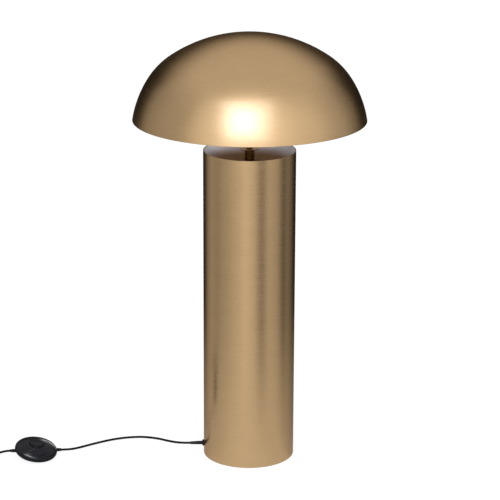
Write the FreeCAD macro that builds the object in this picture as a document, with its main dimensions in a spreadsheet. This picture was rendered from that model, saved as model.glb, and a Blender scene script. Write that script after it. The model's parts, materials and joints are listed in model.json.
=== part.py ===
import FreeCAD, Part
import math
import os
import re
import Sketcher
from FreeCAD import Placement, Rotation, Vector

# A mushroom floor lamp: an open brass column on a weighted foot, a stem with a lampholder,
# and a domed shade that lies loose on a three-armed carrier.  A thin lead runs out of the
# foot to a floor switch, and on to a coil and a two-pin plug.
# Millimetres; +Z up; the origin is the centre of the foot on the floor; -Y is the front.

SIZES = [
    # column
    ("column_radius", 75.0), ("column_wall", 1.5), ("column_top", 522.0), ("foot_gap", 1.2),
    # foot
    ("felt_inset", 3.5), ("felt_thickness", 2.0), ("felt_hole_radius", 6.5),
    ("cover_thickness", 2.0), ("slip_gap", 0.3), ("weight_thickness", 22.0),
    ("weight_gap", 0.6), ("weight_eye_radius", 27.0), ("slot_width", 14.0),
    ("base_ring_thickness", 3.0), ("base_ring_width", 20.0),
    ("base_screw_inset", 10.5), ("base_screw_radius", 2.5), ("base_screw_head_radius", 4.6),
    ("base_screw_head", 1.6), ("screw_gap", 0.2),
    # stem
    ("bulkhead_depth", 62.0), ("bulkhead_thickness", 2.0), ("bulkhead_skirt", 14.0),
    ("stem_radius", 8.0), ("pipe_radius", 4.95), ("pipe_bore", 3.4), ("thread_gap", 0.05),
    ("collar_rise", 1.2), ("collar_radius", 14.6), ("collar_thickness", 1.8),
    ("collar_chamfer", 0.4), ("pipe_shown", 6.5), ("top_nut_thickness", 3.0), ("nut_corner_radius", 7.2),
    ("low_nut_thickness", 6.0), ("washer_radius", 12.0), ("washer_thickness", 1.5),
    # lampholder
    ("holder_radius", 19.5), ("holder_wall", 2.2), ("holder_cap_height", 18.5),
    ("holder_boss_radius", 9.0), ("sleeve_height", 39.0), ("socket_radius", 13.6),
    ("socket_sheet", 0.5), ("socket_depth", 24.0), ("insert_thickness", 6.0),
    ("contact_height", 3.0), ("contact_width", 4.0), ("tip_gap", 0.4), ("sleeve_step", 0.8),
    ("cap_boss_step", 1.5), ("cap_boss_rise", 2.5), ("cap_shoulder_step", 2.0),
    ("cap_shoulder_rise", 3.5), ("insert_bore", 2.85), ("insert_gap", 0.1),
    ("holder_terminal_radius", 2.2), ("holder_terminal_height", 3.0),
    # shade carrier
    ("carrier_seat", 24.0), ("carrier_ring_radius", 28.0), ("carrier_ring_thickness", 2.5),
    ("arm_radius", 2.2), ("pad_radius", 4.5), ("pad_angle", 31.0), ("pad_gap", 0.3),
    ("clamp_ring_radius", 24.0), ("clamp_ring_height", 7.0), ("clamp_ring_taper", 1.0),
    # shade
    ("shade_rise", 188.6), ("crown_curve", 231.6), ("shoulder_curve", 119.0),
    ("skirt_curve", 171.8), ("crown_slope", 34.2), ("shoulder_slope", 57.9),
    ("rim_slope", 80.5), ("shade_wall", 1.2), ("hem_wall", 2.2), ("hem_slope", 1.4),
    # bulb
    ("bulb_radius", 30.0), ("bulb_length", 105.0), ("bulb_cap_radius", 13.2),
    ("bulb_cap_height", 17.0), ("bulb_cap_step", 2.0), ("bulb_cap_wall", 0.6),
    ("bulb_tip_height", 2.5), ("bulb_tip_radius", 4.5), ("bulb_tip_step", 1.5),
    ("bulb_tip_margin", 0.5), ("bulb_insulator_height", 5.0), ("bulb_shoulder_step", 3.0),
    ("bulb_board_step", 5.0), ("bulb_board_rise", 4.0), ("bulb_floor_rise", 6.0),
    ("bulb_housing_height", 30.0), ("bulb_neck_radius", 14.5), ("bulb_glass", 1.0),
    ("led_board_radius", 22.0), ("led_board_thickness", 1.6), ("led_board_hole", 2.0),
    # lead
    ("lead_radius", 1.9), ("lead_height", 17.5), ("exit_angle", 4.0), ("lead_bend", 22.0),
    ("core_radius", 0.9), ("core_straight", 4.0), ("lead_straight", 14.0), ("lead_straight_short", 11.0),
    ("bush_radius", 3.2), ("bush_flange_radius", 5.4), ("bush_flange", 2.5),
    ("bush_length", 20.0), ("bush_mouth_radius", 2.4), ("bush_nut_radius", 6.6),
    ("bush_nut_thickness", 3.0), ("bush_inner_length", 9.0), ("bore_gap", 0.1),
    ("grip_inset", 21.5), ("grip_length", 12.0), ("grip_gap", 0.2),
    # foot switch, in its own tilted frame: the rim's plane is its zero height
    ("switch_x", -354.4), ("switch_y", -27.5), ("switch_turn", 17.0),
    ("switch_lean_side", 9.0), ("switch_lean_front", 9.0),
    ("switch_radius", 35.3), ("switch_rise", 12.0), ("switch_drop", 11.0),
    ("switch_edge_curve", 5.5), ("switch_wall", 2.0), ("button_radius", 12.6),
    ("button_gap", 0.5), ("button_crown", 13.6), ("button_wall", 1.6), ("button_foot", 4.2),
    ("button_edge_drop", 2.2), ("button_edge_mid", 0.9), ("button_edge_step", 0.8),
    ("button_edge_reach", 2.6), ("button_dish_start", 5.0), ("button_dish_mid", 7.5),
    ("button_dish_depth", 1.0), ("button_dish_slope", 0.8), ("button_dish_lip", 0.1),
    ("plunger_radius", 3.0), ("plunger_end", 3.0), ("spring_radius", 7.4),
    ("spring_wall", 1.2), ("contact_base_length", 42.0), ("contact_base_width", 20.0),
    ("contact_base_thickness", 2.0), ("contact_base_low", -5.3), ("rotor_radius", 4.6),
    ("rotor_thickness", 2.6), ("rotor_pin_radius", 1.4), ("rotor_notch_width", 1.2),
    ("rotor_notch_start", 2.53), ("terminal_side", 5.0),
    ("terminal_height", 4.4), ("terminal_x", 16.5), ("terminal_y", 5.5),
    ("terminal_screw_radius", 1.3), ("terminal_screw_head", 2.0),
    ("switch_exit_height", -1.5), ("relief_reach", 8.0), ("relief_inside", 12.0),
    ("relief_root_radius", 3.0), ("relief_mouth_radius", 2.4), ("relief_flange_radius", 3.9),
    ("relief_flange", 1.5), ("case_screw_circle", 26.0), ("case_screw_radius", 1.4),
    ("case_screw_head_radius", 2.6), ("case_screw_head", 1.4), ("case_boss_radius", 3.4),
    ("boss_split", 1.0), ("upper_boss_top", 5.2), ("case_screw_end", 4.0),
    ("lower_boss_low", 6.4), ("head_seat", 4.0),
    # put-away coil
    ("coil_x", -470.0), ("coil_y", -28.0), ("coil_mid_radius", 22.8), ("coil_step", 4.4),
    ("coil_start_angle", -78.0), ("tie_thickness", 0.6), ("tie_width", 4.0),
    ("tie_gap", 0.3), ("tie_angle", 65.0),
    # plug
    ("plug_x", -503.0), ("plug_y", 54.0), ("plug_half_width", 17.6), ("plug_length", 36.0),
    ("plug_thickness", 13.7), ("plug_waist", 13.0), ("plug_edge", 1.6),
    ("plug_relief_length", 20.0), ("plug_relief_radius", 4.0), ("pin_spacing", 18.6),
    ("pin_radius", 2.0), ("pin_length", 19.0), ("pin_sleeve_length", 10.0),
    ("pin_core_radius", 1.4), ("pin_sleeve_radius", 1.75), ("pin_root", 6.0),
    ("pin_tip_length", 1.2), ("pin_tip_step", 1.0), ("plug_relief_step", 0.4),
]

doc = FreeCAD.newDocument("mushroom_floor_lamp")
dims = doc.addObject("Spreadsheet::Sheet", "dims")
for row, (alias, number) in enumerate(SIZES, start=1):
    dims.set("A%d" % row, alias)
    dims.set("B%d" % row, str(number))
    dims.setAlias("B%d" % row, alias)
doc.recompute()

nodes = []

# heights and radii that several pieces share, worked out from the sheet
BORE = "(column_radius - column_wall)"
FELT_RADIUS = "(%s - felt_inset)" % BORE
COVER_TOP = "(felt_thickness + cover_thickness)"
WEIGHT_TOP = "(felt_thickness + cover_thickness + weight_thickness)"
RING_TOP = "(%s + base_ring_thickness)" % WEIGHT_TOP
SCREW_CIRCLE = "(%s - base_screw_inset)" % BORE
BULKHEAD = "(column_top - bulkhead_depth)"
COLLAR_LOW = "(column_top + collar_rise)"
COLLAR_TOP = "(%s + collar_thickness)" % COLLAR_LOW
NUT_LOW = "(%s + pipe_shown)" % COLLAR_TOP
CAP_LOW = "(%s + top_nut_thickness)" % NUT_LOW
SLEEVE_LOW = "(%s + holder_cap_height)" % CAP_LOW
SLEEVE_TOP = "(%s + sleeve_height)" % SLEEVE_LOW
SEAT = "(%s + carrier_seat)" % SLEEVE_LOW
SOCKET_LOW = "(%s - socket_depth)" % SLEEVE_TOP
INSERT_TOP = "(%s - contact_height - socket_sheet)" % SOCKET_LOW
TERMINAL_LOW = "(%s - insert_thickness - holder_terminal_height)" % INSERT_TOP
BULB_LOW = "(%s + contact_height + tip_gap)" % INSERT_TOP
BULB_CAP_LOW = "(%s + bulb_tip_height + bulb_insulator_height)" % BULB_LOW
BULB_CAP_TOP = "(%s + bulb_cap_height)" % BULB_CAP_LOW
HOUSING_TOP = "(%s + bulb_housing_height)" % BULB_CAP_TOP
LEAD_TOP = "(%s + holder_cap_height / 3 + 2)" % CAP_LOW
SHADE_TOP = "(column_top + shade_rise)"


def bind(text):
    """Turn the sheet's size names in a formula into references to its cells."""
    return re.sub(r"[a-z][a-z_]*(?![a-z_(])", lambda word: "dims." + word.group(0), text)


def size(text):
    """The number that a formula of size names gives."""
    return float(dims.evalExpression(bind(text)))


def node(piece, name):
    """Name a finished piece; its label is the name of its file."""
    piece.Label = name
    nodes.append(piece)
    return piece


def outline_sketch(body, plane, name, corners):
    """A closed outline of straight lines, each corner bound to the sheet."""
    sketch = body.newObject("Sketcher::SketchObject", name)
    support = [f for f in body.Origin.OriginFeatures if f.Role == plane][0]
    sketch.AttachmentSupport = [(support, "")]
    sketch.MapMode = "FlatFace"
    points = [Vector(size(across), size(up), 0) for across, up in corners]
    count = len(points)
    for i in range(count):
        sketch.addGeometry(Part.LineSegment(points[i], points[(i + 1) % count]), False)
    for i in range(count):
        sketch.addConstraint(Sketcher.Constraint("Coincident", i, 2, (i + 1) % count, 1))
    for i, (across, up) in enumerate(corners):
        for kind, formula, number in (("DistanceX", across, points[i].x), ("DistanceY", up, points[i].y)):
            index = sketch.addConstraint(Sketcher.Constraint(kind, -1, 1, i, 1, number))
            sketch.setExpression("Constraints[%d]" % index, bind(formula))
    return sketch


def turned(name, corners):
    """A round piece: the outline of (radius, height) corners turned about the Z axis."""
    body = doc.addObject("PartDesign::Body", name + "_body")
    sketch = outline_sketch(body, "XZ_Plane", name + "_outline", corners)
    turn = body.newObject("PartDesign::Revolution", name + "_turn")
    turn.Profile = sketch
    turn.ReferenceAxis = (sketch, ["V_Axis"])
    turn.Angle = 360
    doc.recompute()
    return body


def tube_ring(name, inner, outer, low, high):
    """A plain ring or disc with a bore."""
    return turned(name, [(inner, low), (outer, low), (outer, high), (inner, high)])


def primitive(kind, name, at=(), **sizes):
    """A box, cylinder or prism with its sizes, and its place if given, bound to the sheet."""
    piece = doc.addObject(kind, name)
    for prop, formula in sizes.items():
        piece.setExpression(prop, bind(formula))
    for axis, formula in zip("xyz", at):
        piece.setExpression("Placement.Base." + axis, bind(formula))
    doc.recompute()
    return piece


def cut(name, base, *tools):
    """The base less every tool."""
    if len(tools) > 1:
        tool = doc.addObject("Part::MultiFuse", name + "_tools")
        tool.Shapes = list(tools)
    else:
        tool = tools[0]
    result = doc.addObject("Part::Cut", name + "_cut")
    result.Base = base
    result.Tool = tool
    doc.recompute()
    return result


def fused(name, *pieces):
    """One solid out of several."""
    result = doc.addObject("Part::MultiFuse", name + "_fused")
    result.Shapes = list(pieces)
    doc.recompute()
    return result


def grouped(name, pieces):
    """Several equal pieces that share one node and stay separate solids."""
    result = doc.addObject("Part::Compound", name + "_group")
    result.Links = list(pieces)
    doc.recompute()
    return result


def shaped(name, shape, placement=None):
    """A piece whose form is worked out below from the sheet's sizes."""
    result = doc.addObject("Part::Feature", name + "_form")
    result.Shape = shape
    if placement is not None:
        result.Placement = placement
    doc.recompute()
    return result


def placed(piece, placement):
    piece.Placement = placement
    doc.recompute()
    return piece


def round_the_axis(count, first=0.0):
    """Angles in degrees of equal pieces round a circle."""
    return [first + 360.0 * i / count for i in range(count)]


def on_circle(radius, angle):
    """Formulas of a point on a circle, for a piece's place."""
    return "%s * cos(%g)" % (radius, angle), "%s * sin(%g)" % (radius, angle)


# ---------------------------------------------------------------- foot and column

def exit_placement(distance):
    """A frame on the lead's axis through the column: its Z points outward, its X down."""
    angle = math.radians(size("exit_angle"))
    outward = Vector(-math.cos(angle), -math.sin(angle), 0)
    base = outward * distance + Vector(0, 0, size("lead_height"))
    return Placement(base, Rotation(Vector(0, 0, -1), Vector(), outward, "ZXY"))


def make_foot():
    felt = turned("felt", [
        ("0", "0"), (FELT_RADIUS, "0"), (FELT_RADIUS, "felt_thickness"), ("0", "felt_thickness")])
    cover_radius = BORE + " - slip_gap"
    cover = turned("cover", [
        ("0", "felt_thickness"), (cover_radius, "felt_thickness"),
        (cover_radius, COVER_TOP), ("0", COVER_TOP)])
    weight = tube_ring("weight", "weight_eye_radius", BORE + " - weight_gap", COVER_TOP, WEIGHT_TOP)
    ring = tube_ring("base_ring", BORE + " - base_ring_width", BORE, WEIGHT_TOP, RING_TOP)
    slot = primitive("Part::Box", "lead_slot", Length="column_radius", Width="slot_width",
                     Height="weight_thickness + cover_thickness")
    turn = Rotation(Vector(0, 0, 1), 180 + size("exit_angle"))
    low_corner = Vector(0, -size("slot_width") / 2, 0)
    placed(slot, Placement(Vector(0, 0, size(COVER_TOP)) + turn.multVec(low_corner), turn))
    felt_holes, cover_holes, weight_holes, ring_holes, screws = [], [], [], [], []
    for i, angle in enumerate(round_the_axis(3)):
        x, y = on_circle(SCREW_CIRCLE, angle)
        felt_holes.append(primitive(
            "Part::Cylinder", "felt_hole%d" % i, (x, y, "-1"),
            Radius="felt_hole_radius", Height="felt_thickness + 2"))
        for holes, part in ((cover_holes, "cover"), (weight_holes, "weight"), (ring_holes, "ring")):
            holes.append(primitive(
                "Part::Cylinder", "%s_hole%d" % (part, i), (x, y, "0"),
                Radius="base_screw_radius + screw_gap", Height=RING_TOP + " + 1"))
        start = (x, y, "felt_thickness - base_screw_head")
        head = primitive("Part::Cylinder", "base_screw_head%d" % i, start,
                         Radius="base_screw_head_radius", Height="base_screw_head")
        shank = primitive("Part::Cylinder", "base_screw_shank%d" % i, start, Radius="base_screw_radius",
                          Height=RING_TOP + " - felt_thickness + base_screw_head")
        cross = primitive("Part::Box", "base_screw_slot%d" % i,
                          (x + " - base_screw_head_radius", y + " - base_screw_head / 3",
                           "felt_thickness - base_screw_head * 1.2"),
                          Length="base_screw_head_radius * 2", Width="base_screw_head / 1.5",
                          Height="base_screw_head * 0.8")
        screws.append(cut("base_screw%d" % i, fused("base_screw%d" % i, head, shank), cross))
    node(cut("felt", felt, *felt_holes), "felt_pad")
    node(cut("cover", cover, *cover_holes), "base_cover")
    node(cut("weight", weight, slot, *weight_holes), "base_weight")
    node(cut("ring", ring, *ring_holes), "base_ring")
    node(grouped("base_screws", screws), "base_screws")


def make_column():
    column = tube_ring("column", BORE, "column_radius", "foot_gap", "column_top")
    hole = primitive("Part::Cylinder", "exit_hole", Radius="bush_radius + bore_gap", Height="column_wall * 4")
    placed(hole, exit_placement(size("column_radius - column_wall * 3")))
    node(cut("column", column, hole), "column_tube")
    node(turned("bulkhead", [
        ("pipe_radius + thread_gap", BULKHEAD + " - bulkhead_thickness"),
        (BORE + " - bulkhead_thickness", BULKHEAD + " - bulkhead_thickness"),
        (BORE + " - bulkhead_thickness", BULKHEAD + " - bulkhead_skirt"),
        (BORE, BULKHEAD + " - bulkhead_skirt"), (BORE, BULKHEAD),
        ("pipe_radius + thread_gap", BULKHEAD)]), "bulkhead")


# ---------------------------------------------------------------- stem and lampholder

def hex_nut(name, low, thickness):
    prism = primitive("Part::Prism", name + "_hex", ("0", "0", low),
                      Circumradius="nut_corner_radius", Height=thickness)
    prism.Polygon = 6
    bore = primitive("Part::Cylinder", name + "_bore", ("0", "0", low + " - 1"),
                     Radius="pipe_radius + thread_gap", Height=thickness + " + 2")
    return cut(name, prism, bore)


def make_stem():
    under = BULKHEAD + " - bulkhead_thickness"
    bore = "pipe_radius + thread_gap"
    node(tube_ring("stem", bore, "stem_radius", BULKHEAD, COLLAR_LOW), "stem_tube")
    node(turned("collar", [
        (bore, COLLAR_LOW), ("collar_radius - collar_chamfer", COLLAR_LOW),
        ("collar_radius", COLLAR_LOW + " + collar_chamfer"),
        ("collar_radius", COLLAR_TOP + " - collar_chamfer"),
        ("collar_radius - collar_chamfer", COLLAR_TOP), (bore, COLLAR_TOP)]), "stem_collar")
    node(hex_nut("top_nut", NUT_LOW, "top_nut_thickness"), "collar_nut")
    node(tube_ring("washer", bore, "washer_radius", under + " - washer_thickness", under), "lower_washer")
    low = under + " - washer_thickness - low_nut_thickness"
    node(hex_nut("low_nut", low, "low_nut_thickness"), "lower_nut")
    node(tube_ring("pipe", "pipe_bore", "pipe_radius", under + " - low_nut_thickness * 3",
                   CAP_LOW + " + holder_cap_height / 3"), "threaded_pipe")


def make_lampholder():
    bore = "pipe_radius + thread_gap"
    inside = "(holder_radius - holder_wall)"
    step = "(holder_radius - sleeve_step)"
    shoulder = CAP_LOW + " + holder_cap_height * 0.45"
    node(turned("holder_cap", [
        (bore, CAP_LOW), ("holder_boss_radius", CAP_LOW),
        ("holder_boss_radius + cap_boss_step", CAP_LOW + " + cap_boss_rise"),
        ("holder_radius - cap_shoulder_step", shoulder),
        ("holder_radius", shoulder + " + cap_shoulder_rise"),
        ("holder_radius", SLEEVE_LOW), (inside, SLEEVE_LOW), (inside, shoulder + " + cap_shoulder_rise"),
        ("holder_boss_radius", shoulder), (bore, CAP_LOW + " + holder_cap_height / 3")]), "holder_cap")
    node(tube_ring("insert", "insert_bore", inside + " - insert_gap",
                   INSERT_TOP + " - insert_thickness", INSERT_TOP), "holder_insert")
    node(turned("holder_sleeve", [
        (inside, SLEEVE_LOW), ("holder_radius", SLEEVE_LOW), ("holder_radius", SEAT),
        (step, SEAT), (step, SLEEVE_TOP),
        ("socket_radius + socket_sheet * 2", SLEEVE_TOP),
        ("socket_radius + socket_sheet * 2", SEAT), (inside, SEAT + " - 3")]), "holder_sleeve")
    node(tube_ring("socket", "socket_radius", "socket_radius + socket_sheet",
                   INSERT_TOP, SLEEVE_TOP + " - 2"), "socket_shell")
    node(primitive("Part::Box", "centre_contact",
                   ("-socket_radius / 2", "-contact_width / 2", INSERT_TOP),
                   Length="socket_radius", Width="contact_width", Height="contact_height"),
         "centre_contact")
    terminals = []
    for side in (-1, 1):
        terminals.append(primitive(
            "Part::Cylinder", "holder_terminal%d" % (side + 1),
            ("%d * holder_boss_radius" % side, "0", TERMINAL_LOW),
            Radius="holder_terminal_radius", Height="holder_terminal_height"))
    node(grouped("holder_terminals", terminals), "holder_terminals")


# ---------------------------------------------------------------- shade and its carrier

def crown_centre():
    return Vector(0, 0, size(SHADE_TOP + " - crown_curve"))


def pad_centre(angle):
    """Where a carrier pad touches the crown from inside, its radius and a small gap away."""
    reach = size("crown_curve - shade_wall - pad_radius - pad_gap")
    slope = math.radians(size("pad_angle"))
    around = math.radians(angle)
    across = Vector(math.cos(around), math.sin(around), 0) * (reach * math.sin(slope))
    return crown_centre() + across + Vector(0, 0, reach * math.cos(slope))


def make_carrier():
    ring_mid = size(SEAT + " + carrier_ring_thickness / 2")
    root = size("carrier_ring_radius - arm_radius")
    ring = tube_ring("carrier_ring", "holder_radius - sleeve_step + slip_gap", "carrier_ring_radius",
                     SEAT, SEAT + " + carrier_ring_thickness")
    arms, pads = [ring], []
    for i, angle in enumerate(round_the_axis(3, 60.0)):
        around = math.radians(angle)
        start = Vector(math.cos(around) * root, math.sin(around) * root, ring_mid)
        tip = pad_centre(angle)
        along = tip - start
        direction = Vector(along).normalize()
        length = along.Length - size("pad_radius") * 0.4
        rod = Part.makeCylinder(size("arm_radius"), length, start, direction)
        arms.append(shaped("arm%d" % i, rod))
        socket = Part.makeCylinder(size("arm_radius + thread_gap"), length, start, direction)
        pads.append(shaped("pad%d" % i, Part.makeSphere(size("pad_radius"), tip).cut(socket)))
    carrier = fused("carrier", *arms)
    bore = primitive("Part::Cylinder", "carrier_bore", ("0", "0", SEAT + " - 5"),
                     Radius="holder_radius - sleeve_step + slip_gap", Height="carrier_ring_thickness + 10")
    node(cut("carrier", carrier, bore), "shade_carrier")
    node(grouped("carrier_pads", pads), "carrier_pads")
    thread = "holder_radius - sleeve_step + thread_gap"
    low = SEAT + " + carrier_ring_thickness"
    high = low + " + clamp_ring_height"
    node(turned("clamp_ring", [
        (thread, low), ("clamp_ring_radius", low), ("clamp_ring_radius - clamp_ring_taper", high),
        (thread, high)]), "clamp_ring")


def slope_point(centre, radius, degrees):
    """The point of an arc where its surface slopes by so many degrees."""
    slope = math.radians(degrees)
    return Vector(centre.x + radius * math.sin(slope), 0, centre.z + radius * math.cos(slope))


def dome_arcs(wall, last_slope):
    """Three tangent arcs from the crown to the rim, a wall's thickness in from the outside."""
    slopes = [0.0, size("crown_slope"), size("shoulder_slope"), last_slope]
    curves = [size("crown_curve"), size("shoulder_curve"), size("skirt_curve")]
    centre = crown_centre()
    arcs = []
    for i, curve in enumerate(curves):
        if i > 0:
            centre = slope_point(centre, curves[i - 1] - curve, slopes[i])
        ends = [slope_point(centre, curve - wall, slopes[i + k]) for k in (0, 1)]
        middle = slope_point(centre, curve - wall, (slopes[i] + slopes[i + 1]) / 2)
        arcs.append(Part.Arc(ends[0], middle, ends[1]).toShape())
    return arcs, ends[1]


def make_shade():
    """A spun dome with a doubled hem at its rim."""
    rim_slope = size("rim_slope")
    hem_slope = rim_slope - size("hem_slope")
    outer, rim_outer = dome_arcs(0.0, rim_slope)
    inner, hem_top = dome_arcs(size("shade_wall"), hem_slope)
    rim_inner = dome_arcs(size("hem_wall"), rim_slope)[1]
    hem_end = dome_arcs(size("hem_wall"), hem_slope)[1]
    hem_middle = dome_arcs(size("hem_wall"), (rim_slope + hem_slope) / 2)[1]
    edges = outer + [
        Part.LineSegment(rim_outer, rim_inner).toShape(),
        Part.Arc(rim_inner, hem_middle, hem_end).toShape(),
        Part.LineSegment(hem_end, hem_top).toShape()]
    edges += list(reversed(inner))
    edges.append(Part.LineSegment(inner[0].Vertexes[0].Point, outer[0].Vertexes[0].Point).toShape())
    wire = Part.Wire(Part.__sortEdges__(edges))
    print("shade rim radius %.2f, height %.2f" % (rim_outer.x, rim_outer.z))
    node(shaped("shade", Part.Face(wire).revolve(Vector(), Vector(0, 0, 1), 360)), "shade_dome")


def make_bulb():
    tip_top = BULB_LOW + " + bulb_tip_height"
    node(turned("bulb_tip", [
        ("0", BULB_LOW), ("bulb_tip_radius - bulb_tip_step", BULB_LOW), ("bulb_tip_radius", tip_top),
        ("0", tip_top)]), "bulb_tip")
    node(turned("bulb_insulator", [
        ("0", tip_top), ("bulb_tip_radius + bulb_tip_margin", tip_top),
        ("bulb_cap_radius - bulb_cap_step", BULB_CAP_LOW), ("0", BULB_CAP_LOW)]), "bulb_insulator")
    step_top = BULB_CAP_LOW + " + bulb_cap_step"
    node(turned("bulb_cap", [
        ("0", BULB_CAP_LOW), ("bulb_cap_radius - bulb_cap_step", BULB_CAP_LOW),
        ("bulb_cap_radius", step_top), ("bulb_cap_radius", BULB_CAP_TOP),
        ("bulb_cap_radius - bulb_cap_wall", BULB_CAP_TOP),
        ("bulb_cap_radius - bulb_cap_wall", step_top + " + bulb_cap_wall"),
        ("0", BULB_CAP_LOW + " + bulb_cap_wall")]), "bulb_cap")
    board_low = HOUSING_TOP + " - led_board_thickness"
    inside = "bulb_cap_radius - bulb_board_rise"
    node(turned("bulb_housing", [
        (inside, BULB_CAP_TOP), ("bulb_neck_radius", BULB_CAP_TOP),
        ("bulb_radius - bulb_board_step", HOUSING_TOP + " - bulb_board_rise"),
        ("bulb_radius - bulb_shoulder_step", HOUSING_TOP), ("led_board_radius", HOUSING_TOP),
        ("led_board_radius", board_low), (inside, board_low + " - bulb_floor_rise")]), "bulb_housing")
    node(tube_ring("led_board", "led_board_hole", "led_board_radius - bore_gap",
                   HOUSING_TOP + " - led_board_thickness", HOUSING_TOP), "led_board")
    ball = size("bulb_radius")
    top = size(BULB_LOW + " + bulb_length")
    centre = Vector(0, 0, top - ball)
    foot = size(HOUSING_TOP)
    edges = []
    for inset in (0.0, size("bulb_glass")):
        radius = ball - inset
        low = math.asin((foot - centre.z) / radius)
        ends = [Vector(radius * math.cos(low), 0, foot), Vector(0, 0, centre.z + radius)]
        half = (low + math.pi / 2) / 2
        middle = centre + Vector(radius * math.cos(half), 0, radius * math.sin(half))
        edges.append((Part.Arc(ends[0], middle, ends[1]).toShape(), ends))
    (outer, outer_ends), (inner, inner_ends) = edges
    lines = [Part.LineSegment(outer_ends[k], inner_ends[k]).toShape() for k in (0, 1)]
    wire = Part.Wire(Part.__sortEdges__([outer, inner] + lines))
    globe = Part.Face(wire).revolve(Vector(), Vector(0, 0, 1), 360)
    node(shaped("bulb_globe", globe), "bulb_globe")


# ---------------------------------------------------------------- lead inside the lamp

def run_lengths(points):
    return [(points[i + 1] - points[i]).Length for i in range(len(points) - 1)]


def rounded_path(name, points):
    """Straight runs joined by tangent arcs, each as large as its two runs allow."""
    runs = run_lengths(points)
    edges, radii = [], []
    start = points[0]
    for i in range(1, len(points) - 1):
        back = (points[i - 1] - points[i]).normalize()
        ahead = (points[i + 1] - points[i]).normalize()
        turn = math.pi - back.getAngle(ahead)
        reach = 0.45 * min(runs[i - 1], runs[i])
        radius = reach / math.tan(turn / 2)
        radii.append(radius)
        inward = (back + ahead).normalize()
        first = points[i] + back * reach
        middle = points[i] + inward * (radius / math.cos(turn / 2) - radius)
        last = points[i] + ahead * reach
        edges.append(Part.LineSegment(start, first).toShape())
        edges.append(Part.Arc(first, middle, last).toShape())
        start = last
    edges.append(Part.LineSegment(start, points[-1]).toShape())
    print("%s runs %s radii %s" % (name, [round(r, 1) for r in runs], [round(r, 1) for r in radii]))
    return Part.Wire(edges)


def tube_along(name, path, radius):
    """A round tube along a path; its volume is compared with its section times its length."""
    start = path.OrderedEdges[0]
    direction = start.tangentAt(start.FirstParameter)
    section = Part.Wire(Part.makeCircle(radius, start.valueAt(start.FirstParameter), direction))
    tube = path.makePipeShell([section], True, False)
    expected = math.pi * radius ** 2 * path.Length
    print("%s length %.1f, volume ratio %.4f" % (name, path.Length, tube.Volume / expected))
    return tube


def make_bush():
    """The gland in the column's side, its locknut, and the grip in the weight's slot."""
    wall = size("column_radius")
    bore = "lead_radius + bore_gap"
    bush = turned("cord_bush", [
        (bore, "-bush_inner_length"), ("bush_radius", "-bush_inner_length"), ("bush_radius", "0.1"),
        ("bush_flange_radius", "0.1"), ("bush_flange_radius", "bush_flange - 0.6"),
        ("bush_flange_radius - 0.8", "bush_flange"), ("bush_radius", "bush_flange"),
        ("bush_mouth_radius", "bush_flange + bush_length"), (bore, "bush_flange + bush_length")])
    node(placed(bush, exit_placement(wall)), "cord_bush")
    face = "(sqrt(%s ^ 2 - bush_nut_radius ^ 2) - thread_gap - column_radius)" % BORE
    nut = tube_ring("bush_nut", "bush_radius + thread_gap", "bush_nut_radius",
                    face + " - bush_nut_thickness", face)
    node(placed(nut, exit_placement(wall)), "bush_nut")
    distance = size(BORE + " - grip_inset")
    for name, side in (("cord_grip_lower", 1), ("cord_grip_upper", -1)):
        room = "lead_height - " + COVER_TOP if side == 1 else WEIGHT_TOP + " - lead_height"
        far = room + " - grip_gap"
        block = primitive("Part::Box", name + "_block", Length=far, Width="slot_width - grip_gap * 2",
                          Height="grip_length")
        inner = 0.0 if side == 1 else -size(far)
        shift = Placement(Vector(inner, -size("slot_width") / 2 + size("grip_gap"), 0), Rotation())
        placed(block, exit_placement(distance).multiply(shift))
        groove = primitive("Part::Cylinder", name + "_groove", Radius="lead_radius + thread_gap",
                           Height="grip_length + 2")
        placed(groove, exit_placement(distance - 1))
        node(cut(name, block, groove), name)


def make_inner_lead():
    """From the bush's mouth through the grip to the axis, and up the stem to the lampholder."""
    mouth = exit_placement(size("column_radius + bush_flange + bush_length"))
    start = mouth.Base
    inward = mouth.Rotation.multVec(Vector(0, 0, -1))
    bend = size("lead_bend")
    corner = Vector(0, 0, size("lead_height"))
    before = corner - inward * bend
    after = corner + Vector(0, 0, bend)
    centre = before + Vector(0, 0, bend)
    middle = centre + (corner - centre).normalize() * bend
    end = Vector(0, 0, size(LEAD_TOP))
    edges = [Part.LineSegment(start, before).toShape(), Part.Arc(before, middle, after).toShape(),
             Part.LineSegment(after, end).toShape()]
    tube = tube_along("inner_lead", Part.Wire(edges), size("lead_radius"))
    node(shaped("inner_lead", tube), "inner_lead")
    low, high = size(LEAD_TOP), size(TERMINAL_LOW)
    near, far, radius = size("core_radius + bore_gap"), size("holder_boss_radius"), size("core_radius")
    run = size("core_straight")
    cores = []
    for side in (-1, 1):
        name = "core%d" % (side + 1)
        path = rounded_path(name, [
            Vector(side * near, 0, low), Vector(side * near, 0, low + run),
            Vector(side * far, 0, high - run), Vector(side * far, 0, high)])
        cores.append(shaped(name, tube_along(name, path, radius)))
    node(grouped("holder_wires", cores), "holder_wires")


# ---------------------------------------------------------------- foot switch

def oval_arcs(half_width, height, edge, inset):
    """A flat crown arc and a tight edge arc, tangent, from the pole to the widest point."""
    across = half_width - edge
    crown = (across ** 2 + height ** 2 - edge ** 2) / (2 * (height - edge))
    slope = math.degrees(math.asin(across / (crown - edge)))
    crown_mid = Vector(0, 0, height - crown)
    edge_mid = Vector(across, 0, 0)
    pairs = [(crown_mid, crown - inset, 0.0, slope), (edge_mid, edge - inset, slope, 90.0)]
    arcs = []
    for middle, radius, first, last in pairs:
        points = [slope_point(middle, radius, degrees) for degrees in (first, (first + last) / 2, last)]
        arcs.append(Part.Arc(*points).toShape())
    return arcs, slope_point(crown_mid, crown - inset, 0.0), slope_point(edge_mid, edge - inset, 90.0)


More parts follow.
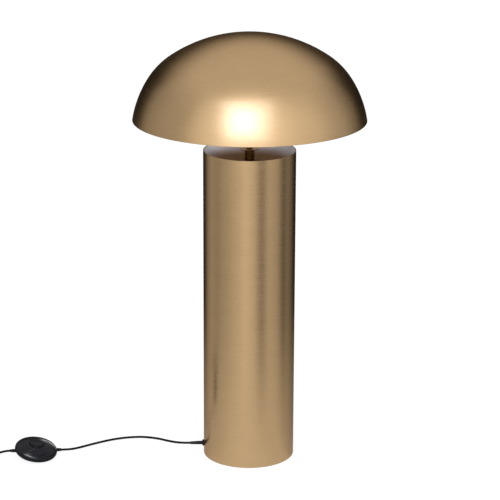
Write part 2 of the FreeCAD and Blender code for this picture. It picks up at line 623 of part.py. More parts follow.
def half_shell(height):
    """Half of the switch's saucer case, open at the rim plane."""
    width, edge, wall = size("switch_radius"), size("switch_edge_curve"), size("switch_wall")
    outer, outer_pole, outer_rim = oval_arcs(width, height, edge, 0.0)
    inner, inner_pole, inner_rim = oval_arcs(width, height, edge, wall)
    ends = [Part.LineSegment(*pair).toShape() for pair in ((outer_rim, inner_rim), (inner_pole, outer_pole))]
    wire = Part.Wire(Part.__sortEdges__(outer + inner + ends))
    return Part.Face(wire).revolve(Vector(), Vector(0, 0, 1), 360)


def switch_rotation():
    """The switch lies tilted on its rounded underside; its X runs along the lead, to the lamp."""
    side = math.radians(size("switch_lean_side"))
    front = math.radians(size("switch_lean_front"))
    up = Vector(math.sin(side), -math.sin(front), 0)
    up.z = math.sqrt(1 - up.x ** 2 - up.y ** 2)
    yaw = math.radians(size("switch_turn"))
    along = Vector(math.cos(yaw), math.sin(yaw), 0)
    return Rotation(along, Vector(), up, "ZXY")


def switch_placement():
    """The case's lowest point rests on the floor."""
    rotation = switch_rotation()
    edge, drop, width = size("switch_edge_curve"), size("switch_drop"), size("switch_radius")
    across = width - edge
    crown = (across ** 2 + drop ** 2 - edge ** 2) / (2 * (drop - edge))
    up = rotation.multVec(Vector(0, 0, 1))
    ball_middle = up * (crown - drop)
    lowest = ball_middle.z - crown
    return Placement(Vector(size("switch_x"), size("switch_y"), -lowest), rotation)


def lead_hole(name, side):
    hole = primitive("Part::Cylinder", name, Radius="relief_root_radius + bore_gap",
                     Height="relief_inside + relief_reach")
    rotation = Rotation(Vector(0, 1, 0), 90 * side)
    reach = side * size("switch_radius - relief_inside + relief_flange")
    start = Vector(reach, 0, size("switch_exit_height"))
    return placed(hole, Placement(start, rotation))


def at_case_screws(name, low, high, radius):
    """Four equal cylinders on the circle of the case screws, all at one height."""
    pieces = []
    for i, angle in enumerate((55.0, 125.0, 235.0, 305.0)):
        x, y = on_circle("case_screw_circle", angle)
        pieces.append(primitive("Part::Cylinder", "%s%d" % (name, i), (x, y, low),
                                Radius=radius, Height="%s - (%s)" % (high, low)))
    return pieces


def make_switch():
    where = switch_placement()
    exit_holes = [lead_hole("lead_hole%d" % i, side) for i, side in enumerate((1, -1))]

    upper = fused("switch_upper", shaped("switch_upper", half_shell(size("switch_rise"))),
                  *at_case_screws("upper_boss", "-boss_split", "upper_boss_top", "case_boss_radius"))
    opening = primitive("Part::Cylinder", "button_opening", Radius="button_radius + button_gap",
                        Height="switch_rise * 2")
    threads = at_case_screws("upper_thread", "-boss_split * 2", "case_screw_end",
                             "case_screw_radius + thread_gap")
    node(placed(cut("switch_upper", upper, opening, *(exit_holes + threads)), where), "switch_top_shell")

    underside = half_shell(size("switch_drop")).mirror(Vector(), Vector(0, 0, 1))
    lower = fused("switch_lower", shaped("switch_lower", underside),
                  *at_case_screws("lower_boss", "-lower_boss_low", "-boss_split", "case_boss_radius"))
    clearance = at_case_screws("lower_hole", "-switch_drop", "0", "case_screw_radius + screw_gap")
    head_holes = at_case_screws("head_hole", "-switch_drop", "-head_seat",
                                "case_screw_head_radius + screw_gap")
    lower = cut("switch_lower", lower, *(exit_holes + clearance + head_holes))
    node(placed(lower, where), "switch_bottom_shell")

    shanks = at_case_screws("case_shank", "-head_seat - screw_gap", "case_screw_end", "case_screw_radius")
    heads = at_case_screws("case_head", "-head_seat - case_screw_head", "-head_seat",
                           "case_screw_head_radius")
    screws = [fused("case_screw%d" % i, *pair) for i, pair in enumerate(zip(shanks, heads))]
    node(placed(grouped("case_screws", screws), where), "switch_case_screws")

    node(placed(turned("button", [
        ("0", "plunger_end"), ("plunger_radius", "plunger_end"),
        ("plunger_radius", "button_crown - button_wall"),
        ("button_radius - button_wall", "button_crown - button_wall * 2"),
        ("button_radius - button_wall", "button_foot"), ("button_radius", "button_foot"),
        ("button_radius", "button_crown - button_edge_drop"),
        ("button_radius - button_edge_step", "button_crown - button_edge_mid"),
        ("button_radius - button_edge_reach", "button_crown"),
        ("button_radius - button_dish_start", "button_crown - button_dish_lip"),
        ("button_radius - button_dish_mid", "button_crown - button_dish_slope"),
        ("0", "button_crown - button_dish_depth")]), where), "switch_button")

    base_top = "contact_base_low + contact_base_thickness"
    node(placed(tube_ring("button_spring", "spring_radius - spring_wall", "spring_radius",
                          base_top, "button_crown - button_wall * 2"), where), "button_spring")
    base = primitive("Part::Box", "contact_plate",
                     ("-contact_base_length / 2", "-contact_base_width / 2", "contact_base_low"),
                     Length="contact_base_length", Width="contact_base_width",
                     Height="contact_base_thickness")
    post = primitive("Part::Cylinder", "rotor_post", ("0", "0", "contact_base_low"),
                     Radius="rotor_pin_radius", Height="contact_base_thickness + rotor_thickness")
    node(placed(fused("contact_base", base, post), where), "contact_base")
    rotor = tube_ring("rotor", "rotor_pin_radius + bore_gap", "rotor_radius",
                      base_top + " + bore_gap", base_top + " + rotor_thickness")
    notches = []
    inner = Vector(size("rotor_notch_start"), -size("rotor_notch_width") / 2,
                   size(base_top + " + rotor_thickness / 2"))
    for angle in round_the_axis(4):
        notch = primitive("Part::Box", "rotor_notch%d" % angle, Length="rotor_radius * 2",
                          Width="rotor_notch_width", Height="rotor_thickness")
        turn = Rotation(Vector(0, 0, 1), angle)
        notches.append(placed(notch, Placement(turn.multVec(inner), turn)))
    node(placed(cut("rotor", rotor, *notches), where), "ratchet_rotor")

    blocks, screws = [], []
    for i, (sx, sy) in enumerate(((-1, -1), (1, -1), (1, 1), (-1, 1))):
        centre = ("%d * terminal_x" % sx, "%d * terminal_y" % sy)
        corner = tuple(c + " - terminal_side / 2" for c in centre)
        blocks.append(primitive("Part::Box", "terminal%d" % i, corner + (base_top,),
                                Length="terminal_side", Width="terminal_side", Height="terminal_height"))
        screws.append(primitive("Part::Cylinder", "terminal_screw%d" % i,
                                centre + (base_top + " + terminal_height",),
                                Radius="terminal_screw_radius", Height="terminal_screw_head"))
    node(placed(grouped("terminals", blocks), where), "switch_terminals")
    node(placed(grouped("terminal_screws", screws), where), "terminal_screws")

    for side, name in ((1, "relief_lamp_side"), (-1, "relief_plug_side")):
        inner = "switch_radius - relief_inside"
        bore = "lead_radius + bore_gap"
        relief = turned(name, [
            (bore, "0"), ("relief_flange_radius", "0"), ("relief_flange_radius", "relief_flange"),
            ("relief_root_radius", "relief_flange"), ("relief_root_radius", "relief_inside"),
            ("relief_mouth_radius", "relief_inside + relief_reach"), (bore, "relief_inside + relief_reach")])
        start = Vector(side * size(inner), 0, size("switch_exit_height"))
        local = Placement(start, Rotation(Vector(0, 1, 0), 90 * side))
        node(placed(relief, where.multiply(local)), "switch_" + name)
    tails = []
    for side in (1, -1):
        tail = primitive("Part::Cylinder", "lead_tail%d" % (side + 1), Radius="lead_radius",
                         Height="relief_inside + relief_reach + lead_radius")
        reach = side * size("switch_radius - relief_inside - lead_radius")
        start = Vector(reach, 0, size("switch_exit_height"))
        tails.append(placed(tail, Placement(start, Rotation(Vector(0, 1, 0), 90 * side))))
    node(placed(grouped("lead_tails", tails), where), "switch_lead_tails")


def switch_mouth(side):
    """Where the lead leaves the switch's strain relief, and its outward direction."""
    where = switch_placement()
    reach = side * size("switch_radius + relief_reach")
    point = where.multVec(Vector(reach, 0, size("switch_exit_height")))
    return point, where.Rotation.multVec(Vector(side, 0, 0))


# ---------------------------------------------------------------- coil, ties and free lead

LAYER_QUARTERS = 10
LAYERS = 4
EXTRA_QUARTERS = 1
COIL_QUARTERS = LAYERS * LAYER_QUARTERS + EXTRA_QUARTERS


def coil_floor():
    return size("tie_thickness + bore_gap + lead_radius")


def coil_radius(quarter):
    """Spirals in and out again at a steady rate, eased over the half turn where it reverses."""
    step = size("coil_step") / 4
    inner = size("coil_mid_radius") - step * LAYER_QUARTERS / 2
    outer = inner + step * LAYER_QUARTERS
    reversal = min(max(round(quarter / LAYER_QUARTERS), 1), LAYERS - 1)
    away = abs(quarter - reversal * LAYER_QUARTERS)
    drawn = step * (away ** 2 + 1) / 2 if away < 1 else step * away
    return inner + drawn if reversal % 2 else outer - drawn


def coil_height(quarter):
    """Climbs a layer in the half turn where the spiral reverses."""
    height = coil_floor()
    for reversal in range(1, LAYERS):
        part = (quarter - reversal * LAYER_QUARTERS + 1) / 2
        part = min(max(part, 0.0), 1.0)
        height += size("coil_step") * part ** 2 * (3 - 2 * part)
    return height


def coil_point(quarter):
    angle = math.radians(size("coil_start_angle") - 90 * quarter)
    radius = coil_radius(quarter)
    centre = Vector(size("coil_x"), size("coil_y"), 0)
    return centre + Vector(radius * math.cos(angle), radius * math.sin(angle), coil_height(quarter))


def coil_direction(quarter):
    small = 0.001
    return (coil_point(quarter + small) - coil_point(quarter - small)).normalize()


def tangent_arc(start, direction, end):
    """The arc that leaves the start along the direction and reaches the end."""
    chord = end - start
    half = direction.getAngle(chord)
    side = direction - chord * (direction.dot(chord) / chord.Length ** 2)
    bulge = side.normalize() * (chord.Length / 2 * math.tan(half / 2))
    return Part.Arc(start, start + chord / 2 + bulge, end).toShape()


def biarc(start, leaving, end, arriving):
    """Two tangent arcs from one point and direction to the next."""
    chord = end - start
    both = leaving + arriving
    spread = 2 * (1 - leaving.dot(arriving))
    reach = (-chord.dot(both) + math.sqrt(chord.dot(both) ** 2 + spread * chord.dot(chord))) / spread
    meeting = (start + end + (leaving - arriving) * reach) / 2
    second = tangent_arc(end, arriving * -1, meeting)
    return [tangent_arc(start, leaving, meeting), second]


def lead_end(quarter, outward):
    """The coil's ends run straight for one diameter of the lead."""
    return coil_point(quarter) + coil_direction(quarter) * (outward * 2 * size("lead_radius"))


def make_coil():
    edges = [Part.LineSegment(lead_end(0, -1), coil_point(0)).toShape()]
    for quarter in range(COIL_QUARTERS):
        edges += biarc(coil_point(quarter), coil_direction(quarter),
                       coil_point(quarter + 1), coil_direction(quarter + 1))
    edges.append(Part.LineSegment(coil_point(COIL_QUARTERS), lead_end(COIL_QUARTERS, 1)).toShape())
    path = Part.Wire(Part.__sortEdges__(edges))
    spacing, apart = 1.5, 12
    samples = path.discretize(Distance=spacing)
    nearest = min((a - b).Length for i, a in enumerate(samples) for b in samples[i + apart:])
    print("coil least gap to itself %.2f" % (nearest - 2 * size("lead_radius")))
    node(shaped("lead_coil", tube_along("lead_coil", path, size("lead_radius"))), "lead_coil")


def make_tie():
    """A flat band closed round the coil's section."""
    quarter_step = size("coil_step") / 4
    inner = size("coil_mid_radius - lead_radius - tie_gap") - quarter_step * LAYER_QUARTERS / 2
    outer = size("coil_mid_radius + lead_radius + tie_gap")
    outer += quarter_step * (LAYER_QUARTERS / 2 + EXTRA_QUARTERS)
    band = size("tie_thickness")
    top = coil_height(COIL_QUARTERS) + size("lead_radius + tie_gap")
    width = size("tie_width")
    ring = Part.makeBox(outer - inner + 2 * band, width, top + band, Vector(inner - band, -width / 2, 0))
    hollow = Part.makeBox(outer - inner, width + 2, top - band, Vector(inner, -width / 2 - 1, band))
    turn = Rotation(Vector(0, 0, 1), size("tie_angle"))
    where = Placement(Vector(size("coil_x"), size("coil_y"), 0), turn)
    node(shaped("tie", ring.cut(hollow), where), "coil_tie")


def free_lead(name, points):
    path = rounded_path(name, points)
    node(shaped(name, tube_along(name, path, size("lead_radius"))), name)


def make_free_leads():
    """The stretches on the floor: their middle points are chosen by hand."""
    on_floor = size("lead_radius")
    run, short_run = size("lead_straight"), size("lead_straight_short")
    mouth = exit_placement(size("column_radius + bush_flange + bush_length"))
    outward = mouth.Rotation.multVec(Vector(0, 0, 1))
    near, near_way = switch_mouth(1)
    far, far_way = switch_mouth(-1)
    free_lead("lead_to_switch", [
        mouth.Base, mouth.Base + outward * run,
        Vector(-131, 1, 16.4), Vector(-156, 33, 9.5), Vector(-188, 54.5, 3.4),
        Vector(-226, 48.5, on_floor), Vector(-261, 26.5, on_floor), Vector(-286, 5.5, 2.6),
        near + near_way * run, near])
    coil_start = lead_end(0, -1)
    free_lead("lead_to_coil", [
        far, far + far_way * short_run, Vector(-427, -48.5, 9.5),
        coil_start - coil_direction(0) * short_run, coil_start])
    coil_end = lead_end(COIL_QUARTERS, 1)
    plug_back = Vector(size("plug_x"), size("plug_y - plug_relief_length"), size("plug_thickness / 2"))
    free_lead("lead_to_plug", [
        coil_end, coil_end + coil_direction(COIL_QUARTERS) * run, Vector(-504.5, 2.5, 11.2),
        plug_back - Vector(0, run, 0), plug_back])


# ---------------------------------------------------------------- plug

def make_plug():
    width, length = "plug_half_width", "plug_length"
    half_outline = [("plug_waist", "0"), (width, length + " / 3"), (width, length + " * 0.7"),
                    ("plug_waist + 0.5", length)]
    corners = [("plug_x + " + a, "plug_y + " + b) for a, b in half_outline]
    corners += [("plug_x - (%s)" % a, "plug_y + " + b) for a, b in reversed(half_outline)]
    body = doc.addObject("PartDesign::Body", "plug_core")
    outline = outline_sketch(body, "XY_Plane", "plug_outline", corners)
    pad = body.newObject("PartDesign::Pad", "plug_pad")
    pad.Profile = outline
    pad.setExpression("Length", bind("plug_thickness"))
    doc.recompute()
    soft = body.newObject("PartDesign::Fillet", "plug_soft_edges")
    soft.Base = (pad, ["Edge%d" % (i + 1) for i in range(len(pad.Shape.Edges))])
    soft.setExpression("Radius", bind("plug_edge"))
    body.Tip = soft
    doc.recompute()
    mid = "plug_thickness / 2"
    face = "plug_y + plug_length"
    forward = Rotation(Vector(1, 0, 0), -90)
    pins, sleeves = [], []
    sockets = []
    for i, side in enumerate((-1, 1)):
        across = size("plug_x + %d * pin_spacing / 2" % side)
        start = Placement(Vector(across, size(face + " - pin_root"), size(mid)), forward)
        bare, tip = "pin_root + pin_sleeve_length", "pin_root + pin_length"
        pin = turned("pin%d" % i, [
            ("0", "0"), ("pin_core_radius", "0"), ("pin_core_radius", bare),
            ("pin_radius", bare), ("pin_radius", tip + " - pin_tip_length"),
            ("pin_radius - pin_tip_step", tip), ("0", tip)])
        pins.append(placed(pin, start))
        sleeve = tube_ring("pin_sleeve%d" % i, "pin_core_radius", "pin_sleeve_radius", "pin_root", bare)
        sleeves.append(placed(sleeve, start))
        socket = primitive("Part::Cylinder", "pin_socket%d" % i, Radius="pin_core_radius",
                           Height="pin_root")
        sockets.append(placed(socket, start))
    node(cut("plug", body, *sockets), "plug_body")
    node(grouped("plug_pins", pins), "plug_pins")
    node(grouped("pin_sleeves", sleeves), "pin_sleeves")
    relief = turned("plug_relief", [
        ("0", "0"), ("lead_radius + plug_relief_step", "0"), ("plug_relief_radius", "plug_relief_length"),
        ("0", "plug_relief_length")])
    back = Placement(Vector(size("plug_x"), size("plug_y - plug_relief_length"), size(mid)), forward)
    node(placed(relief, back), "plug_relief")


def check_and_write():
    """Every feature must have worked before any file is written."""
    for item in doc.Objects:
        if "Invalid" in item.State or "Error" in item.State:
            raise RuntimeError("failed: %s" % item.Label)
    os.makedirs("parts", exist_ok=True)
    for piece in nodes:
        shape = piece.Shape
        if shape.isNull() or not shape.isValid() or shape.Volume <= 0:
            raise RuntimeError("bad shape: %s" % piece.Label)
    for piece in nodes:
        piece.Shape.exportStep("parts/%s.step" % piece.Label)
    print("%d nodes written" % len(nodes))


make_foot()
make_column()
make_stem()
make_lampholder()
make_carrier()
make_shade()
make_bulb()
make_bush()
make_inner_lead()
make_switch()
make_coil()
make_tie()
make_free_leads()
make_plug()
doc.recompute()
check_and_write()
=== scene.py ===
"""Mushroom floor lamp: finishes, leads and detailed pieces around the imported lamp.

Metres; +Z up; the origin is the centre of the foot on the floor; -Y is the front.
"""
import json
import math

import bmesh
import bpy
from mathutils import Matrix, Vector

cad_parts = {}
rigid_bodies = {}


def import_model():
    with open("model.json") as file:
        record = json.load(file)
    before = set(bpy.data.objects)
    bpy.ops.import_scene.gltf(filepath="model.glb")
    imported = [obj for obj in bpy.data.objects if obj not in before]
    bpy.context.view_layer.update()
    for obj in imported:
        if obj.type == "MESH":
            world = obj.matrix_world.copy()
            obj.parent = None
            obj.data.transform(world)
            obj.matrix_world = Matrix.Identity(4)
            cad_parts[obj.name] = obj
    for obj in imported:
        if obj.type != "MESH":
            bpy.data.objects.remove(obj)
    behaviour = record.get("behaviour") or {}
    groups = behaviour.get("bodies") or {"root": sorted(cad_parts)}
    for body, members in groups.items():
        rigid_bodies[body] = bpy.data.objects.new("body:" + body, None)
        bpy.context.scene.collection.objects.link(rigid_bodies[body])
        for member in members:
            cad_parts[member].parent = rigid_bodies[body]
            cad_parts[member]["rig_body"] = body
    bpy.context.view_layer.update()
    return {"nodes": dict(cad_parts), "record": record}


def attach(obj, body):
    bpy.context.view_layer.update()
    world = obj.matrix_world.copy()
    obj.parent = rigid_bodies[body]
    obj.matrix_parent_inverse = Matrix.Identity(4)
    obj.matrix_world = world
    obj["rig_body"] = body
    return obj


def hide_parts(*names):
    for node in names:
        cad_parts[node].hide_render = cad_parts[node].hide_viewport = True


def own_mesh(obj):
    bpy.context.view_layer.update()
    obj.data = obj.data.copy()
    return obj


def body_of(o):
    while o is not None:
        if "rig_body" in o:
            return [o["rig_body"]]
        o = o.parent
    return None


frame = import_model()
nodes = frame["nodes"]
scene = bpy.context.scene
scene.view_settings.view_transform = "Standard"

MM = 0.001
UP = Vector((0, 0, 1))

# the lead, and where it leaves the column
LEAD_RADIUS = 1.9 * MM
LEAD_DIAMETER = 2 * LEAD_RADIUS
EXIT_ANGLE = math.radians(4.0)
EXIT_REACH = 97.5 * MM
EXIT_HEIGHT = 17.5 * MM

# the foot switch lies tilted on its rounded underside
SWITCH_CENTRE = Vector((-354.4, -27.5, 12.9323)) * MM
SWITCH_LEAN = math.radians(9.0)
SWITCH_TURN = math.radians(17.0)
SWITCH_MOUTH = 43.3 * MM
SWITCH_LEAD_HEIGHT = -1.5 * MM

# the put-away coil
COIL_CENTRE = Vector((-470.0, -28.0, 0.0)) * MM
COIL_MID_RADIUS = 22.8 * MM
COIL_STEP = 4.4 * MM
COIL_START = math.radians(-78.0)
COIL_FLOOR = 2.6 * MM
LAYER_QUARTERS = 10
LAYERS = 4
COIL_QUARTERS = LAYERS * LAYER_QUARTERS + 1
POINTS_PER_QUARTER = 4

# the plug
PLUG_BACK = Vector((-503.0, 34.0, 6.85)) * MM

# points in millimetres that the leads pass near, and how far they run straight at their ends
PAST_COLUMN = ((-131, 1, 16.4), (-156, 33, 9.5), (-188, 54.5, 3.4), (-226, 48.5, 1.9),
               (-261, 26.5, 1.9), (-286, 5.5, 2.6))
PAST_SWITCH = (-427, -48.5, 9.5)
PAST_COIL = (-504.5, 2.5, 11.2)
STRAIGHT = 14 * MM
SHORT_STRAIGHT = 11 * MM


def switch_frame():
    """The switch's place: Z out of its button, X along the lead towards the lamp."""
    out = Vector((math.sin(SWITCH_LEAN), -math.sin(SWITCH_LEAN), 0))
    out.z = math.sqrt(1 - out.x ** 2 - out.y ** 2)
    along = Vector((math.cos(SWITCH_TURN), math.sin(SWITCH_TURN), 0))
    along = (along - out * along.dot(out)).normalized()
    turned = Matrix((along, out.cross(along), out)).transposed().to_4x4()
    return Matrix.Translation(SWITCH_CENTRE) @ turned


SWITCH_FRAME = switch_frame()


# ---------------------------------------------------------------- material helpers

def add_node(tree, kind, **settings):
    """A node of one kind; settings that name an input go to its socket."""
    made = tree.nodes.new(kind)
    for key, value in settings.items():
        if hasattr(made, key):
            setattr(made, key, value)
        else:
            made.inputs[key.replace("_", " ")].default_value = value
    return made


def math_node(tree, operation, first, second=None, clamp=False):
    """A Math node; each operand is a number or an output socket."""
    made = tree.nodes.new("ShaderNodeMath")
    made.operation = operation
    made.use_clamp = clamp
    for slot, operand in enumerate((first, second)):
        if operand is None:
            continue
        if isinstance(operand, (int, float)):
            made.inputs[slot].default_value = operand
        else:
            tree.links.new(operand, made.inputs[slot])
    return made.outputs[0]


def vector_node(tree, operation, first, second=None):
    """A Vector Math node; the second operand is a triple or an output socket."""
    made = tree.nodes.new("ShaderNodeVectorMath")
    made.operation = operation
    tree.links.new(first, made.inputs[0])
    if isinstance(second, tuple):
        made.inputs[1].default_value = second
    elif second is not None:
        tree.links.new(second, made.inputs[1])
    return made.outputs["Value" if operation in ("LENGTH", "DOT_PRODUCT") else "Vector"]


def components(tree, vector):
    """The X, Y and Z sockets of a vector."""
    apart = tree.nodes.new("ShaderNodeSeparateXYZ")
    tree.links.new(vector, apart.inputs[0])
    return apart.outputs


def eased(tree, value, low, high):
    """Zero below low, one above high and smooth between; each bound is a number or a socket."""
    made = tree.nodes.new("ShaderNodeMapRange")
    made.interpolation_type = "SMOOTHSTEP"
    for label, bound in (("From Min", low), ("From Max", high)):
        if isinstance(bound, float):
            made.inputs[label].default_value = bound
        else:
            tree.links.new(bound, made.inputs[label])
    tree.links.new(value, made.inputs["Value"])
    return made.outputs["Result"]


def grey_ramp(tree, factor, stops):
    """A smooth ramp of greys from (position, level) stops."""
    made = tree.nodes.new("ShaderNodeValToRGB")
    made.color_ramp.interpolation = "EASE"
    elements = made.color_ramp.elements
    while len(elements) < len(stops):
        elements.new(0.5)
    for element, (position, level) in zip(elements, stops):
        element.position = position
        element.color = (level, level, level, 1.0)
    tree.links.new(factor, made.inputs["Fac"])
    return made.outputs["Color"]


def effect_group(name, inputs, outputs):
    """An empty shader node group with named sockets: (name, type, default)."""
    tree = bpy.data.node_groups.new(name, "ShaderNodeTree")
    for label, kind, default in inputs:
        socket = tree.interface.new_socket(label, in_out="INPUT", socket_type="NodeSocket" + kind)
        if default is not None:
            socket.default_value = default
    for label, kind in outputs:
        tree.interface.new_socket(label, in_out="OUTPUT", socket_type="NodeSocket" + kind)
    return tree, tree.nodes.new("NodeGroupInput"), tree.nodes.new("NodeGroupOutput")


def use_group(tree, group, **values):
    """A shared effect with its inputs set."""
    made = tree.nodes.new("ShaderNodeGroup")
    made.node_tree = group
    for key, value in values.items():
        made.inputs[key.replace("_", " ")].default_value = value
    return made


def mix_colours(tree, factor, first, second):
    """Mix two colours, each a triple or a socket, by a socket's factor."""
    made = tree.nodes.new("ShaderNodeMix")
    made.data_type = "RGBA"
    tree.links.new(factor, made.inputs["Factor"])
    for label, colour in (("A", first), ("B", second)):
        socket = [s for s in made.inputs if s.name == label and s.type == "RGBA"][0]
        if isinstance(colour, tuple):
            socket.default_value = (*colour, 1.0)
        else:
            tree.links.new(colour, socket)
    return [s for s in made.outputs if s.type == "RGBA"][0]


def mix_shaders(tree, factor, first, second):
    """Mix two shaders by a socket's factor."""
    made = tree.nodes.new("ShaderNodeMixShader")
    for socket, source in zip(made.inputs, (factor, first, second)):
        tree.links.new(source, socket)
    return made.outputs[0]


# ---------------------------------------------------------------- shared effects

# outward counts as downward by this share, so that flat faces show lines too
LINE_SLOPE = 0.8
LINE_DETAIL = 4.0
CLOUD_DETAIL = 2.0
GRAIN_DETAIL = 3.0


def make_turned_lines():
    """Fine lines that run round the lamp's axis, as brushing and spinning leave them."""
    tree, given, out = effect_group(
        "turned_lines",
        [("Fineness", "Float", 1500.0), ("Length", "Float", 3.0), ("Unevenness", "Float", 40.0)],
        [("Lines", "Float"), ("Bands", "Float")])
    place = tree.nodes.new("ShaderNodeTexCoord")
    x, y, z = components(tree, place.outputs["Object"])
    reach = math_node(tree, "SQRT", math_node(
        tree, "ADD", math_node(tree, "MULTIPLY", x, x), math_node(tree, "MULTIPLY", y, y)))
    turn = math_node(tree, "ARCTAN2", y, x)
    across, along = (math_node(tree, "MULTIPLY", math_node(tree, wave, turn), given.outputs["Length"])
                     for wave in ("SINE", "COSINE"))
    profile = math_node(tree, "SUBTRACT", z, math_node(tree, "MULTIPLY", reach, LINE_SLOPE))
    for label, scale, detail in (("Lines", "Fineness", LINE_DETAIL),
                                 ("Bands", "Unevenness", CLOUD_DETAIL)):
        packed = tree.nodes.new("ShaderNodeCombineXYZ")
        tree.links.new(across, packed.inputs[0])
        tree.links.new(along, packed.inputs[1])
        tree.links.new(math_node(tree, "MULTIPLY", profile, given.outputs[scale]), packed.inputs[2])
        noise = add_node(tree, "ShaderNodeTexNoise", Scale=1.0, Detail=detail, Roughness=0.6)
        tree.links.new(packed.outputs[0], noise.inputs["Vector"])
        tree.links.new(noise.outputs["Fac"], out.inputs[label])
    return tree


def make_fine_grain():
    """Even fine grain with a slower cloudiness over it."""
    tree, given, out = effect_group(
        "fine_grain", [("Fineness", "Float", 3000.0), ("Clouds", "Float", 40.0)],
        [("Grain", "Float"), ("Cloudiness", "Float")])
    place = tree.nodes.new("ShaderNodeTexCoord")
    for label, scale, detail in (("Grain", "Fineness", GRAIN_DETAIL),
                                 ("Cloudiness", "Clouds", CLOUD_DETAIL)):
        noise = add_node(tree, "ShaderNodeTexNoise", Detail=detail, Roughness=0.55)
        tree.links.new(place.outputs["Object"], noise.inputs["Vector"])
        tree.links.new(given.outputs[scale], noise.inputs["Scale"])
        tree.links.new(noise.outputs["Fac"], out.inputs[label])
    return tree


TURNED_LINES = make_turned_lines()
FINE_GRAIN = make_fine_grain()


def new_material(name, metallic, **shader):
    """A material with its constants set on the shader."""
    material = bpy.data.materials.new(name)
    material.use_nodes = True
    tree = material.node_tree
    surface = tree.nodes["Principled BSDF"]
    surface.inputs["Metallic"].default_value = metallic
    for key, value in shader.items():
        surface.inputs[key.replace("_", " ")].default_value = value
    return material, tree, surface


def bump_from(tree, surface, height, distance):
    """Let a value from zero to one stand for a height in metres."""
    bump = add_node(tree, "ShaderNodeBump", Strength=1.0, Distance=distance)
    tree.links.new(height, bump.inputs["Height"])
    tree.links.new(bump.outputs["Normal"], surface.inputs["Normal"])


NOISE_RANGE = (0.3, 0.7)


def spread(tree, source, low, high):
    """A noise value's usual range stretched to run from low to high."""
    made = tree.nodes.new("ShaderNodeMapRange")
    for label, bound in zip(("From Min", "From Max", "To Min", "To Max"), (*NOISE_RANGE, low, high)):
        made.inputs[label].default_value = bound
    tree.links.new(source, made.inputs["Value"])
    return made.outputs["Result"]


# how much of the tint follows the fine lines; the rest follows the bands
LINE_SHARE = 0.65


def turned_metal(name, light, dark, smooth, rough, depth, fineness=1500.0, length=3.0,
                 unevenness=40.0, **shader):
    """Metal brushed or spun round the lamp's axis, under clear lacquer."""
    material, tree, surface = new_material(name, 1.0, **shader)
    lines = use_group(tree, TURNED_LINES, Fineness=fineness, Length=length, Unevenness=unevenness)
    both = math_node(tree, "ADD", math_node(tree, "MULTIPLY", lines.outputs["Lines"], LINE_SHARE),
                     math_node(tree, "MULTIPLY", lines.outputs["Bands"], 1 - LINE_SHARE))
    tree.links.new(mix_colours(tree, spread(tree, both, 0.0, 1.0), dark, light),
                   surface.inputs["Base Color"])
    tree.links.new(spread(tree, lines.outputs["Lines"], smooth, rough), surface.inputs["Roughness"])
    bump_from(tree, surface, lines.outputs["Lines"], depth)
    return material


def grained(name, light, dark, smooth, rough, depth, metallic=0.0, fineness=3000.0, clouds=40.0,
            **shader):
    """A moulded, cast, painted or plated finish with fine grain."""
    material, tree, surface = new_material(name, metallic, **shader)
    grain = use_group(tree, FINE_GRAIN, Fineness=fineness, Clouds=clouds)
    tint = spread(tree, grain.outputs["Cloudiness"], 0.0, 1.0)
    tree.links.new(mix_colours(tree, tint, dark, light), surface.inputs["Base Color"])
    tree.links.new(spread(tree, grain.outputs["Grain"], smooth, rough), surface.inputs["Roughness"])
    bump_from(tree, surface, grain.outputs["Grain"], depth)
    return material


# ---------------------------------------------------------------- finishes

BRASS_LIGHT = (0.71, 0.464, 0.224)
BRASS_DARK = (0.64, 0.412, 0.190)
BRASS_EDGE = (0.60, 0.42, 0.26, 1.0)
LACQUER_COVER = 0.6
LACQUER = {"Coat_Roughness": 0.22, "Coat_IOR": 1.75, "Specular_Tint": BRASS_EDGE}

# the column's inner wall is painted light and shade: pale where its mouth is lit, brown painted shade
# deeper in the tube, between the two heights below
INNER_MOUTH = (0.95, 0.92, 0.95)
INNER_PAINTED_SHADE = (0.42, 0.235, 0.12)
PAINTED_SHADE_BELOW, PALE_ABOVE = 494 * MM, 515 * MM
SHADE_INSIDE = (0.86, 0.85, 0.82)
COLUMN_MIDDLE = (0.0, 0.0, 0.26)
CROWN_MIDDLE = (0.0, 0.0, 0.479)
# a face's distance from the middle, along its normal, is below this on the inner side
INNER_LIMIT = -10 * MM


def inner_side(tree, middle):
    """One where the surface faces the middle of the piece, zero on its outer side."""
    place = tree.nodes.new("ShaderNodeTexCoord")
    from_middle = vector_node(tree, "SUBTRACT", place.outputs["Object"], middle)
    facing = vector_node(tree, "DOT_PRODUCT", from_middle, place.outputs["Normal"])
    return math_node(tree, "LESS_THAN", facing, INNER_LIMIT), place


def coat_inside(material, middle, colour, roughness):
    """Give the inner side its own dull coating; colour is a triple or made from the place."""
    tree = material.node_tree
    surface = tree.nodes["Principled BSDF"]
    inside, place = inner_side(tree, middle)
    brass = surface.inputs["Base Color"].links[0].from_socket
    smooth = surface.inputs["Roughness"].links[0].from_socket
    paint = colour if isinstance(colour, tuple) else colour(tree, place)
    tree.links.new(mix_colours(tree, inside, brass, paint), surface.inputs["Base Color"])
    dull = math_node(tree, "MULTIPLY", inside, roughness)
    tree.links.new(math_node(tree, "MAXIMUM", dull, smooth), surface.inputs["Roughness"])
    outside = math_node(tree, "SUBTRACT", 1.0, inside)
    tree.links.new(outside, surface.inputs["Metallic"])
    lacquer = math_node(tree, "MULTIPLY", outside, LACQUER_COVER)
    tree.links.new(lacquer, surface.inputs["Coat Weight"])
    return material


def mouth_colour_painted_shade(tree, place):
    """The column's inner wall, in painted light and shade: pale at its lit mouth, painted shade in
    brown further down.
    """
    height = components(tree, place.outputs["Object"])["Z"]
    return mix_colours(tree, eased(tree, height, PAINTED_SHADE_BELOW, PALE_ABOVE), INNER_PAINTED_SHADE, INNER_MOUTH)


